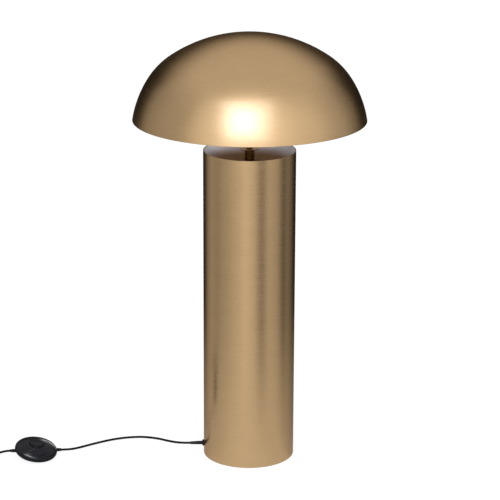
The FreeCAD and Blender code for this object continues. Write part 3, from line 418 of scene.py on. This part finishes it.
COLUMN_BRASS = turned_metal("brushed_brass", BRASS_LIGHT, BRASS_DARK, 0.22, 0.30, 0.000006,
                            length=2.0, **LACQUER)
SHADE_BRASS = turned_metal("satin_brass", BRASS_LIGHT, BRASS_DARK, 0.26, 0.31, 0.0000015,
                           fineness=900.0, unevenness=25.0, **LACQUER)

# painted shade: brass parts down in the column and under the shade are coloured dark brown
SHADED_BRASS_LIGHT = (0.24, 0.125, 0.042)
SHADED_BRASS_DARK = (0.17, 0.085, 0.028)
BRONZE_PAINTED_REFLECTION = (0.72, 0.50, 0.26)
# how far up a face looks where the painted reflection sets in and where it is full
REFLECTION_FROM, REFLECTION_FULL = 0.6, 0.98


def bronze_painted_shade_and_reflection():
    """Brass painted dark as bronze for shade, with a painted reflection of brass on the faces that
    look up.
    """
    material = turned_metal("dark_bronze", SHADED_BRASS_LIGHT, SHADED_BRASS_DARK, 0.24, 0.34, 0.000006,
                            fineness=2500.0, length=1.0)
    tree = material.node_tree
    surface = tree.nodes["Principled BSDF"]
    place = tree.nodes.new("ShaderNodeTexCoord")
    # painted reflection: faces that look up turn brass-coloured, as if they mirrored the bright shade
    # above
    painted_reflection_mask = eased(tree, components(tree, place.outputs["Normal"])["Z"], REFLECTION_FROM, REFLECTION_FULL)
    bronze = surface.inputs["Base Color"].links[0].from_socket
    tree.links.new(mix_colours(tree, painted_reflection_mask, bronze, BRONZE_PAINTED_REFLECTION), surface.inputs["Base Color"])
    return material


SHELL_LIGHT = (0.005, 0.005, 0.006)
SHELL_DARK = (0.003, 0.003, 0.004)
SHELL_SMOOTH, SHELL_ROUGH = 0.15, 0.20
SHELL_GRAIN_SHARE = 0.01
SHELL_LINE_RADII = (17.2 * MM, 23.0 * MM)
SHELL_LINE_WIDTH = 0.5 * MM
SHELL_LINE_DEPTH = 0.25 * MM


def moulded_shell():
    """The switch's black plastic, with two fine rings moulded round its button."""
    material, tree, surface = new_material("black_plastic", 0.0, Specular_IOR_Level=0.17)
    grain = use_group(tree, FINE_GRAIN, Fineness=3500.0, Clouds=40.0)
    tint = spread(tree, grain.outputs["Cloudiness"], 0.0, 1.0)
    tree.links.new(mix_colours(tree, tint, SHELL_DARK, SHELL_LIGHT), surface.inputs["Base Color"])
    tree.links.new(spread(tree, grain.outputs["Grain"], SHELL_SMOOTH, SHELL_ROUGH),
                   surface.inputs["Roughness"])
    place = tree.nodes.new("ShaderNodeTexCoord")
    centred = tree.nodes.new("ShaderNodeMapping")
    centred.vector_type = "TEXTURE"
    centred.inputs["Location"].default_value = SWITCH_CENTRE
    centred.inputs["Rotation"].default_value = SWITCH_FRAME.to_euler()
    tree.links.new(place.outputs["Object"], centred.inputs["Vector"])
    flat = vector_node(tree, "MULTIPLY", centred.outputs[0], (1.0, 1.0, 0.0))
    reach = vector_node(tree, "LENGTH", flat)
    height = math_node(tree, "MULTIPLY", grain.outputs["Grain"], SHELL_GRAIN_SHARE)
    for radius in SHELL_LINE_RADII:
        away = math_node(tree, "DIVIDE", math_node(tree, "SUBTRACT", reach, radius), SHELL_LINE_WIDTH)
        line = math_node(tree, "SUBTRACT", 1.0, math_node(tree, "ABSOLUTE", away), clamp=True)
        height = math_node(tree, "SUBTRACT", height, line)
    bump_from(tree, surface, height, SHELL_LINE_DEPTH)
    return material


finishes = {
    "brushed_brass": coat_inside(COLUMN_BRASS, COLUMN_MIDDLE, mouth_colour_painted_shade, 0.55),
    "satin_brass": coat_inside(SHADE_BRASS, CROWN_MIDDLE, SHADE_INSIDE, 0.45),
    "dark_bronze": bronze_painted_shade_and_reflection(),
    "zinc_steel": grained("zinc_steel", (0.56, 0.56, 0.58), (0.46, 0.47, 0.50), 0.30, 0.42,
                          0.000006, metallic=1.0, clouds=90.0),
    "cast_iron": grained("cast_iron", (0.045, 0.045, 0.047), (0.028, 0.028, 0.030), 0.62, 0.85,
                         0.00012, metallic=0.6, fineness=900.0, clouds=60.0),
    "felt": grained("felt", (0.020, 0.020, 0.021), (0.009, 0.009, 0.010), 0.92, 1.0, 0.00035,
                    fineness=1600.0, clouds=500.0, Sheen_Weight=0.4),
    "black_pvc": grained("black_pvc", (0.006, 0.006, 0.007), (0.004, 0.004, 0.005), 0.26, 0.34,
                         0.000010, fineness=2500.0, Specular_IOR_Level=0.13),
    "black_plastic": moulded_shell(),
    "holder_plastic": grained("holder_plastic", (0.022, 0.022, 0.023), (0.015, 0.015, 0.016), 0.42,
                              0.55, 0.00002),
    "ceramic": grained("ceramic", (0.80, 0.78, 0.72), (0.72, 0.70, 0.64), 0.45, 0.6, 0.00003,
                       fineness=1500.0),
    "contact_brass": grained("contact_brass", (0.80, 0.58, 0.26), (0.66, 0.46, 0.20), 0.20, 0.32,
                             0.000006, metallic=1.0, clouds=150.0),
    "spring_steel": grained("spring_steel", (0.52, 0.52, 0.54), (0.42, 0.42, 0.44), 0.24, 0.34,
                            0.000004, metallic=1.0),
    "bulb_cap_metal": grained("bulb_cap_metal", (0.66, 0.66, 0.67), (0.56, 0.56, 0.58), 0.20, 0.32,
                              0.000006, metallic=1.0, clouds=120.0),
    "bulb_glass_insulator": grained("bulb_glass_insulator", (0.012, 0.012, 0.013),
                                    (0.008, 0.008, 0.009), 0.08, 0.16, 0.000004),
    "bulb_plastic": grained("bulb_plastic", (0.80, 0.80, 0.79), (0.75, 0.75, 0.74), 0.38, 0.5,
                            0.00001),
    "opal_glass": grained("opal_glass", (0.84, 0.83, 0.80), (0.80, 0.79, 0.76), 0.16, 0.22,
                          0.000003, Coat_Weight=0.5, Subsurface_Weight=0.3),
    "circuit_board": grained("circuit_board", (0.78, 0.78, 0.76), (0.72, 0.72, 0.70), 0.35, 0.45,
                             0.00001),
    "pad_silicone": grained("pad_silicone", (0.55, 0.55, 0.53), (0.48, 0.48, 0.46), 0.4, 0.5,
                            0.00001, Subsurface_Weight=0.4),
    "core_wire": grained("core_wire", (0.04, 0.09, 0.34), (0.03, 0.07, 0.28), 0.34, 0.44, 0.00001),
}

finish_of = {row["node"]: row["material_slot"] for row in frame["record"]["subparts"]}
for node, finish_name in finish_of.items():
    nodes[node].data.materials.clear()
    nodes[node].data.materials.append(finishes[finish_name])


# ---------------------------------------------------------------- leads

def switch_mouth(side):
    """Where the lead leaves the switch's strain relief, and its outward direction."""
    point = SWITCH_FRAME @ Vector((side * SWITCH_MOUTH, 0, SWITCH_LEAD_HEIGHT))
    return point, (SWITCH_FRAME.to_3x3() @ Vector((side, 0, 0))).normalized()


def coil_radius(quarter):
    """Spirals in and out again at a steady rate, eased over the half turn where it reverses."""
    step = COIL_STEP / 4
    inner = COIL_MID_RADIUS - step * LAYER_QUARTERS / 2
    outer = inner + step * LAYER_QUARTERS
    reversal = min(max(round(quarter / LAYER_QUARTERS), 1), LAYERS - 1)
    away = abs(quarter - reversal * LAYER_QUARTERS)
    drawn = step * (away ** 2 + 1) / 2 if away < 1 else step * away
    return inner + drawn if reversal % 2 else outer - drawn


def coil_height(quarter):
    """Climbs a layer in the half turn where the spiral reverses."""
    height = COIL_FLOOR
    for reversal in range(1, LAYERS):
        part = min(max((quarter - reversal * LAYER_QUARTERS + 1) / 2, 0.0), 1.0)
        height += COIL_STEP * part ** 2 * (3 - 2 * part)
    return height


def coil_point(quarter, radius_scale=1.0):
    """A point of the coil, which runs clockwise from its start, counted in quarter turns."""
    angle = COIL_START - math.pi / 2 * quarter
    radius = coil_radius(quarter) * radius_scale
    place = (radius * math.cos(angle), radius * math.sin(angle), coil_height(quarter))
    return COIL_CENTRE + Vector(place)


def coil_direction(quarter):
    """The way the lead runs at a point of the coil."""
    small = 0.001
    return (coil_point(quarter + small) - coil_point(quarter - small)).normalized()


def coil_route():
    """The coil's turns: control points a little outside the line, which a smooth spline cuts in."""
    step = math.pi / 2 / POINTS_PER_QUARTER
    outward = 2 / (1 + math.cos(step / 2))
    count = COIL_QUARTERS * POINTS_PER_QUARTER
    route = [coil_point(0) - coil_direction(0) * LEAD_DIAMETER]
    route += [coil_point(i / POINTS_PER_QUARTER, outward) for i in range(count + 1)]
    route.append(coil_point(COIL_QUARTERS) + coil_direction(COIL_QUARTERS) * LEAD_DIAMETER)
    return route


def lead_piece(name, route):
    """A round lead along a smooth spline."""
    curve = bpy.data.curves.new(name, "CURVE")
    curve.dimensions = "3D"
    curve.bevel_depth = LEAD_RADIUS
    curve.bevel_resolution = 4
    curve.resolution_u = 6
    curve.use_fill_caps = True
    spline = curve.splines.new("NURBS")
    spline.points.add(len(route) - 1)
    for point, place in zip(spline.points, route):
        point.co = (*place, 1.0)
    spline.order_u = 3
    spline.use_endpoint_u = True
    curve.materials.append(finishes["black_pvc"])
    piece = bpy.data.objects.new(name, curve)
    scene.collection.objects.link(piece)
    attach(piece, "root")
    return piece


def make_leads():
    """The lead from the column to the switch, and the one from there by the coil to the plug."""
    outward = Vector((-math.cos(EXIT_ANGLE), -math.sin(EXIT_ANGLE), 0))
    bush_mouth = outward * EXIT_REACH + UP * EXIT_HEIGHT
    near, near_way = switch_mouth(1)
    to_switch = lead_piece("lamp_lead", [
        bush_mouth, bush_mouth + outward * STRAIGHT, *(Vector(place) * MM for place in PAST_COLUMN),
        near + near_way * STRAIGHT, near])
    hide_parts("lead_to_switch")
    far, far_way = switch_mouth(-1)
    coil = coil_route()
    first, last = coil[0], coil[-1]
    to_plug = lead_piece("plug_lead", [
        far, far + far_way * SHORT_STRAIGHT, Vector(PAST_SWITCH) * MM,
        first - coil_direction(0) * SHORT_STRAIGHT, *coil,
        last + coil_direction(COIL_QUARTERS) * STRAIGHT, Vector(PAST_COIL) * MM,
        PLUG_BACK - Vector((0, STRAIGHT, 0)), PLUG_BACK])
    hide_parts("lead_to_coil", "lead_coil", "lead_to_plug")
    return to_switch, to_plug, bush_mouth, far


def declare_leads(to_switch, to_plug, bush_mouth, far):
    """Collect the names of the pieces that lie on the switch; nothing further is done with them."""
    on_switch = [n for n in nodes if n.startswith("switch_")]
    on_switch += ["terminal_screws", "button_spring", "contact_base", "ratchet_rotor"]


leads = make_leads()
shown_for = dict(nodes)


# ---------------------------------------------------------------- detailed pieces

MERGE = 1e-6
FLAT = math.radians(0.3)
HARD = math.radians(28.0)
EDGE_SEGMENTS = 2


def add_piece(name, bm, finish, stands_for):
    """Make an object of a mesh, which rides on the body of the CAD node that it stands for."""
    for face in bm.faces:
        face.smooth = True
    mesh = bpy.data.meshes.new(name)
    bm.to_mesh(mesh)
    bm.free()
    mesh.materials.append(finishes[finish])
    piece = bpy.data.objects.new(name, mesh)
    scene.collection.objects.link(piece)
    shade = piece.modifiers.new("even_shading", "WEIGHTED_NORMAL")
    shade.keep_sharp = True
    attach(piece, body_of(nodes[stands_for])[0])
    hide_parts(stands_for)
    shown_for[stands_for] = piece
    return piece


def part_at_holes(bm, angles):
    """Part the faces along upright planes through the axis, so that none goes all round a hole."""
    for angle in angles:
        across = Vector((-math.sin(angle), math.cos(angle), 0))
        cut = bmesh.ops.bisect_plane(bm, geom=bm.verts[:] + bm.edges[:] + bm.faces[:], dist=MERGE,
                                     plane_co=(0, 0, 0), plane_no=across)
        for parted in cut["geom_cut"]:
            if isinstance(parted, bmesh.types.BMEdge):
                parted.seam = True


def soften(name, width, hole_angles=()):
    """A copy of a CAD node with its hard edges rounded off, as they catch the light."""
    bm = bmesh.new()
    bm.from_mesh(nodes[name].data)
    bmesh.ops.remove_doubles(bm, verts=bm.verts, dist=MERGE)
    part_at_holes(bm, hole_angles)
    bmesh.ops.dissolve_limit(bm, angle_limit=FLAT, verts=bm.verts, edges=bm.edges,
                             delimit={"SEAM"})
    hard = [e for e in bm.edges if e.is_manifold and e.calc_face_angle() > HARD]
    bmesh.ops.bevel(bm, geom=hard, offset=width, offset_type="OFFSET", segments=EDGE_SEGMENTS,
                    profile=0.5, affect="EDGES", clamp_overlap=True, material=-1)
    add_piece(name + "_softened", bm, finish_of[name], name)


def spun(outline, steps=96):
    """A round piece from its closed (radius, height) outline, spun about the Z axis."""
    bm = bmesh.new()
    corners = [bm.verts.new((radius, 0, height)) for radius, height in outline]
    following = corners[1:] + corners[:1]
    edges = [bm.edges.new(ends) for ends in zip(corners, following)]
    bmesh.ops.spin(bm, geom=corners + edges, cent=(0, 0, 0), axis=(0, 0, 1), angle=2 * math.pi,
                   steps=steps, use_merge=True)
    bmesh.ops.remove_doubles(bm, verts=bm.verts, dist=MERGE)
    bmesh.ops.recalc_face_normals(bm, faces=bm.faces)
    return bm


def rolled_thread(bm, start, end, least, pitch, depth):
    """Press a helical thread into the outer wall between two heights."""
    for vert in bm.verts:
        radius = vert.co.xy.length
        if radius < least or not start < vert.co.z < end:
            continue
        around = math.atan2(vert.co.y, vert.co.x)
        groove = depth * (0.5 - 0.5 * math.cos(2 * math.pi * vert.co.z / pitch - around))
        runout = min(1.0, (vert.co.z - start) / pitch, (end - vert.co.z) / pitch)
        vert.co.xy *= (radius - groove * runout) / radius


def rows_between(low, high, count):
    """Evenly spaced heights from low to high, both included."""
    return [low + (high - low) * i / count for i in range(count + 1)]


# (radius, height) in millimetres round the collar's section, with a fine line near its bore
COLLAR = ((5.0, 523.2), (14.0, 523.2), (14.4, 523.35), (14.6, 523.7), (14.6, 524.5), (14.4, 524.85),
          (14.0, 525.0), (10.4, 525.0), (10.1, 524.9), (9.8, 524.9), (9.5, 525.0), (5.0, 525.0))


def make_collar():
    """The turned disc at the stem's top."""
    disc = spun([(radius * MM, height * MM) for radius, height in COLLAR])
    add_piece("collar_disc", disc, "dark_bronze", "stem_collar")


def make_threaded_pipe():
    """The pipe that carries the lampholder, threaded from end to end."""
    low, high, outer, inner = 440.0 * MM, 540.7 * MM, 4.95 * MM, 3.4 * MM
    pitch, depth, rows_per_turn = 1.0 * MM, 0.5 * MM, 6
    rows = rows_between(low, high, round((high - low) / pitch * rows_per_turn))
    pipe = spun([(inner, low)] + [(outer, z) for z in rows] + [(inner, high)], steps=28)
    rolled_thread(pipe, low, high, (inner + outer) / 2, pitch, depth)
    add_piece("threaded_pipe_cut", pipe, "dark_bronze", "threaded_pipe")


def make_bulb_cap():
    """The bulb's screw cap, with the rolled E27 thread."""
    low, high, outer, wall, taper = 575.4 * MM, 592.4 * MM, 13.2 * MM, 0.6 * MM, 2.0 * MM
    pitch, depth, row_count = 25.4 / 7 * MM, 0.9 * MM, 56
    bore = outer - 2.2 * wall
    rows = rows_between(low + taper, high, row_count)
    cap = spun([(0, low), (outer - taper, low)] + [(outer, z) for z in rows]
               + [(outer - wall, high), (bore, high - taper), (bore, low + taper + wall),
                  (0, low + wall)], steps=72)
    rolled_thread(cap, low + taper, high - taper, outer - wall / 2, pitch, depth)
    add_piece("bulb_screw_cap", cap, "bulb_cap_metal", "bulb_cap")


def make_button_spring():
    """A coil of wire under the button; on the real switch it shortens as the button goes down."""
    wire, middle, low, high, turns, steps = 0.6 * MM, 6.8 * MM, -2.7 * MM, 9.8 * MM, 7, 26
    upright = Matrix.Rotation(math.pi / 2, 3, "X")
    bm = bmesh.new()
    bmesh.ops.create_circle(bm, cap_ends=True, segments=10, radius=wire)
    bmesh.ops.rotate(bm, verts=bm.verts, cent=(0, 0, 0), matrix=upright)
    bmesh.ops.translate(bm, verts=bm.verts, vec=(middle, 0, low))
    rise = Vector((0, 0, (high - low) / (turns * steps)))
    bmesh.ops.spin(bm, geom=bm.faces[:], cent=(0, 0, 0), axis=(0, 0, 1), dvec=rise,
                   angle=2 * math.pi * turns, steps=turns * steps, use_merge=False)
    bmesh.ops.remove_doubles(bm, verts=bm.verts, dist=MERGE)
    bmesh.ops.recalc_face_normals(bm, faces=bm.faces)
    bmesh.ops.transform(bm, matrix=SWITCH_FRAME, verts=bm.verts)
    coil = add_piece("button_return_spring", bm, "spring_steel", "button_spring")
    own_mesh(coil)


# edge widths in millimetres
SOFTENED = {
    "column_tube": 0.4, "shade_dome": 0.4, "base_ring": 0.4, "base_cover": 0.4, "base_weight": 0.9,
    "bulkhead": 0.4, "stem_tube": 0.3, "collar_nut": 0.35, "lower_nut": 0.35, "lower_washer": 0.3,
    "holder_cap": 0.4, "holder_sleeve": 0.4, "cord_bush": 0.25, "bush_nut": 0.3,
    "switch_button": 0.25, "plug_body": 0.35, "clamp_ring": 0.35, "shade_carrier": 0.3,
}
FELT_EDGE = 0.4 * MM
SCREW_ANGLES = (0, math.radians(120), math.radians(240))

make_collar()
make_threaded_pipe()
make_bulb_cap()
make_button_spring()
for softened_node, edge_width in SOFTENED.items():
    soften(softened_node, edge_width * MM)
soften("felt_pad", FELT_EDGE, hole_angles=SCREW_ANGLES)
declare_leads(*leads)


# ---------------------------------------------------------------- camera

CAMERA_PLACE = Vector((0.0012, -3.0951, 1.2911))
CAMERA_PITCH = math.radians(16.85)
CAMERA_ROLL = math.radians(0.232)
CAMERA_LENS = 142.7
CAMERA_SENSOR = 36.0
CAMERA_REACH = 50.0

camera_data = bpy.data.cameras.new("camera")
camera_data.lens = CAMERA_LENS
camera_data.sensor_width = CAMERA_SENSOR
camera_data.clip_end = CAMERA_REACH
camera = bpy.data.objects.new("camera", camera_data)
scene.collection.objects.link(camera)
camera.matrix_world = (Matrix.Translation(CAMERA_PLACE)
                       @ Matrix.Rotation(math.pi / 2 - CAMERA_PITCH, 4, "X")
                       @ Matrix.Rotation(CAMERA_ROLL, 4, "Z"))
scene.camera = camera


# ---------------------------------------------------------------- studio

# brightness by azimuth in degrees, where 0 is the front and 90 the right
FLOOR_FAR = ((-180, 0.018), (-150, 0.018), (-138, 0.05), (-120, 0.33), (-105, 0.42), (-86, 0.34),
             (-60, 0.45), (-29, 0.62), (-9, 0.80), (9, 0.66), (30, 0.20), (48, 0.56), (70, 0.46),
             (92, 0.10), (106, 0.26), (125, 0.16), (138, 0.03), (150, 0.018), (180, 0.018))
FLOOR_NEAR = ((-180, 0.28), (-140, 0.34), (-90, 0.54), (-9, 0.74), (60, 0.64), (90, 0.48),
              (140, 0.32), (180, 0.28))
WALL = ((-180, 0.02), (-150, 0.0), (-138, 0.02), (-118, 0.37), (-88, 0.47), (-72, 0.48),
        (-50, 0.92), (-15, 1.22), (15, 1.18), (60, 0.86), (100, 0.52), (124, 0.24), (138, 0.0),
        (150, 0.0), (180, 0.02))
CEILING_LEVEL = 0.66

# elevation by azimuth, as a share of a right angle
WALL_TOP = ((-180, 0.12), (-150, 0.18), (-90, 0.26), (0, 0.42), (90, 0.24), (150, 0.16),
            (180, 0.12))
CEILING_START = ((-180, 0.46), (-150, 0.56), (-90, 0.68), (0, 0.90), (90, 0.66), (150, 0.54),
                 (180, 0.46))

# metres from the lamp's axis between which the near floor passes into the far one
NEAR_ENDS, FAR_STARTS = 0.10, 0.95


def make_surround():
    """How bright the studio is in each direction from the lamp, seen in the metal."""
    tree, given, out = effect_group("studio_surround", [("Direction", "Vector", None)],
                                    [("Room", "Float"), ("Floor", "Float")])
    x, y, z = components(tree, vector_node(tree, "NORMALIZE", given.outputs["Direction"]))
    turn = math_node(tree, "ARCTAN2", x, math_node(tree, "MULTIPLY", y, -1.0))
    around = math_node(tree, "ADD", math_node(tree, "DIVIDE", turn, 2 * math.pi), 0.5)
    rise = math_node(tree, "DIVIDE", math_node(tree, "ARCSINE", z), math.pi / 2)
    floor_far, floor_near, wall, wall_top, ceiling_start = (
        grey_ramp(tree, around, [((degrees + 180) / 360, level) for degrees, level in table])
        for table in (FLOOR_FAR, FLOOR_NEAR, WALL, WALL_TOP, CEILING_START))
    height = eased(tree, rise, wall_top, ceiling_start)
    tree.links.new(mix_colours(tree, height, wall, (CEILING_LEVEL,) * 3), out.inputs["Room"])
    reach = vector_node(tree, "LENGTH", given.outputs["Direction"])
    away = eased(tree, reach, NEAR_ENDS, FAR_STARTS)
    tree.links.new(mix_colours(tree, away, floor_near, floor_far), out.inputs["Floor"])
    return tree


SURROUND = make_surround()
WHITE = (1.0, 1.0, 1.0, 1.0)
FLOOR_RADIUS = 6.0
# a hair below the foot, so that the felt shows from underneath
FLOOR_LEVEL = -0.2 * MM
FLOOR_PAINT = (0.30, 0.30, 0.30, 1.0)
FLOOR_GLOW = 0.82
FLOOR_BOUNCE = (0.9, 0.9, 0.9, 1.0)


def backdrop_rays(tree):
    """One for what the camera sees, straight or through glass; with the node of all ray kinds."""
    rays = tree.nodes.new("ShaderNodeLightPath")
    seen = math_node(tree, "MAXIMUM", rays.outputs["Is Camera Ray"],
                     rays.outputs["Is Transmission Ray"])
    return seen, rays


def make_world():
    """A white backdrop to the camera, and the studio's brightness to everything else."""
    world = bpy.data.worlds.new("studio")
    scene.world = world
    world.use_nodes = True
    tree = world.node_tree
    tree.nodes.clear()
    out = tree.nodes.new("ShaderNodeOutputWorld")
    place = tree.nodes.new("ShaderNodeTexCoord")
    surround = use_group(tree, SURROUND)
    tree.links.new(place.outputs["Generated"], surround.inputs["Direction"])
    white = add_node(tree, "ShaderNodeBackground", Color=WHITE, Strength=1.0)
    room = add_node(tree, "ShaderNodeBackground", Strength=1.0)
    tree.links.new(surround.outputs["Room"], room.inputs["Color"])
    backdrop, _ = backdrop_rays(tree)
    shader = mix_shaders(tree, backdrop, room.outputs[0], white.outputs[0])
    tree.links.new(shader, out.inputs["Surface"])


def make_floor():
    """White to the camera but for the lamp's shadow, the studio's floor in the metal, clear below."""
    bm = bmesh.new()
    bmesh.ops.create_circle(bm, cap_ends=True, segments=96, radius=FLOOR_RADIUS)
    bmesh.ops.translate(bm, verts=bm.verts, vec=UP * FLOOR_LEVEL)
    mesh = bpy.data.meshes.new("floor")
    bm.to_mesh(mesh)
    bm.free()
    floor = bpy.data.objects.new("floor", mesh)
    scene.collection.objects.link(floor)
    material = bpy.data.materials.new("floor_paint")
    material.use_nodes = True
    tree = material.node_tree
    tree.nodes.clear()
    out = tree.nodes.new("ShaderNodeOutputMaterial")
    backdrop, rays = backdrop_rays(tree)
    place = tree.nodes.new("ShaderNodeTexCoord")
    surround = use_group(tree, SURROUND)
    tree.links.new(place.outputs["Object"], surround.inputs["Direction"])
    paint = add_node(tree, "ShaderNodeBsdfDiffuse", Color=FLOOR_PAINT)
    glow = add_node(tree, "ShaderNodeEmission", Color=WHITE, Strength=FLOOR_GLOW)
    seen = tree.nodes.new("ShaderNodeAddShader")
    tree.links.new(paint.outputs[0], seen.inputs[0])
    tree.links.new(glow.outputs[0], seen.inputs[1])
    mirrored = add_node(tree, "ShaderNodeEmission", Strength=1.0)
    tree.links.new(surround.outputs["Floor"], mirrored.inputs["Color"])
    bounce = add_node(tree, "ShaderNodeBsdfDiffuse", Color=FLOOR_BOUNCE)
    to_pieces = mix_shaders(tree, rays.outputs["Is Glossy Ray"], bounce.outputs[0],
                            mirrored.outputs[0])
    from_above = mix_shaders(tree, backdrop, to_pieces, seen.outputs[0])
    side = tree.nodes.new("ShaderNodeNewGeometry")
    clear = tree.nodes.new("ShaderNodeBsdfTransparent")
    tree.links.new(mix_shaders(tree, side.outputs["Backfacing"], from_above, clear.outputs[0]),
                   out.inputs["Surface"])
    mesh.materials.append(material)


DAYLIGHT = (0.84, 1.0, 1.42)
SOFTBOX_WHITE = (0.86, 1.04, 1.62)
REFLECTOR_WHITE = (1.0, 0.94, 0.90)
STRIP_WHITE = (1.0, 1.0, 1.0)
LAMP_MIDDLE = UP * 0.45


def soft_lamp(name, azimuth, elevation, distance, width, height, brightness, colour):
    """A studio lamp that faces the floor lamp's middle; brightness is what a mirror would show."""
    data = bpy.data.lights.new(name, "AREA")
    data.shape = "RECTANGLE"
    data.size = width
    data.size_y = height
    data.energy = brightness * math.pi * width * height
    data.color = colour
    lamp = bpy.data.objects.new(name, data)
    scene.collection.objects.link(lamp)
    turn, rise = math.radians(azimuth), math.radians(elevation)
    level = math.cos(rise)
    away = Vector((math.sin(turn) * level, -math.cos(turn) * level, math.sin(rise)))
    lamp.location = LAMP_MIDDLE + away * distance
    lamp.rotation_euler = away.to_track_quat("Z", "Y").to_euler()
    return lamp


def make_lamps():
    """Two lamps for the whole lamp, one for the column's mouth and two for the foot switch."""
    # name, azimuth, elevation, distance, width, height, brightness, colour
    soft_lamp("front_softbox", -6, 32, 3.4, 1.6, 1.5, 1.55, SOFTBOX_WHITE)
    soft_lamp("front_screen", -4, 33.5, 3.8, 3.1, 3.1, 0.9, DAYLIGHT)
    # shines under the shade onto the column's inner wall, and is kept out of the metal
    reflector = soft_lamp("low_reflector", 14, 5.9, 3.0, 1.6, 0.45, 14.0, REFLECTOR_WHITE)
    reflector.visible_glossy = False
    # these light the switch's shells and nothing else
    switch_shells = bpy.data.collections.new("switch_shells")
    for shell in ("switch_top_shell", "switch_bottom_shell"):
        switch_shells.objects.link(shown_for[shell])
    for strip in (soft_lamp("switch_strip", -52, 70, 3.0, 1.6, 1.3, 24.0, STRIP_WHITE),
                  soft_lamp("switch_back_strip", 169, 6.5, 3.0, 1.6, 0.6, 2.8, STRIP_WHITE)):
        strip.light_linking.receiver_collection = switch_shells


make_world()
make_floor()
make_lamps()
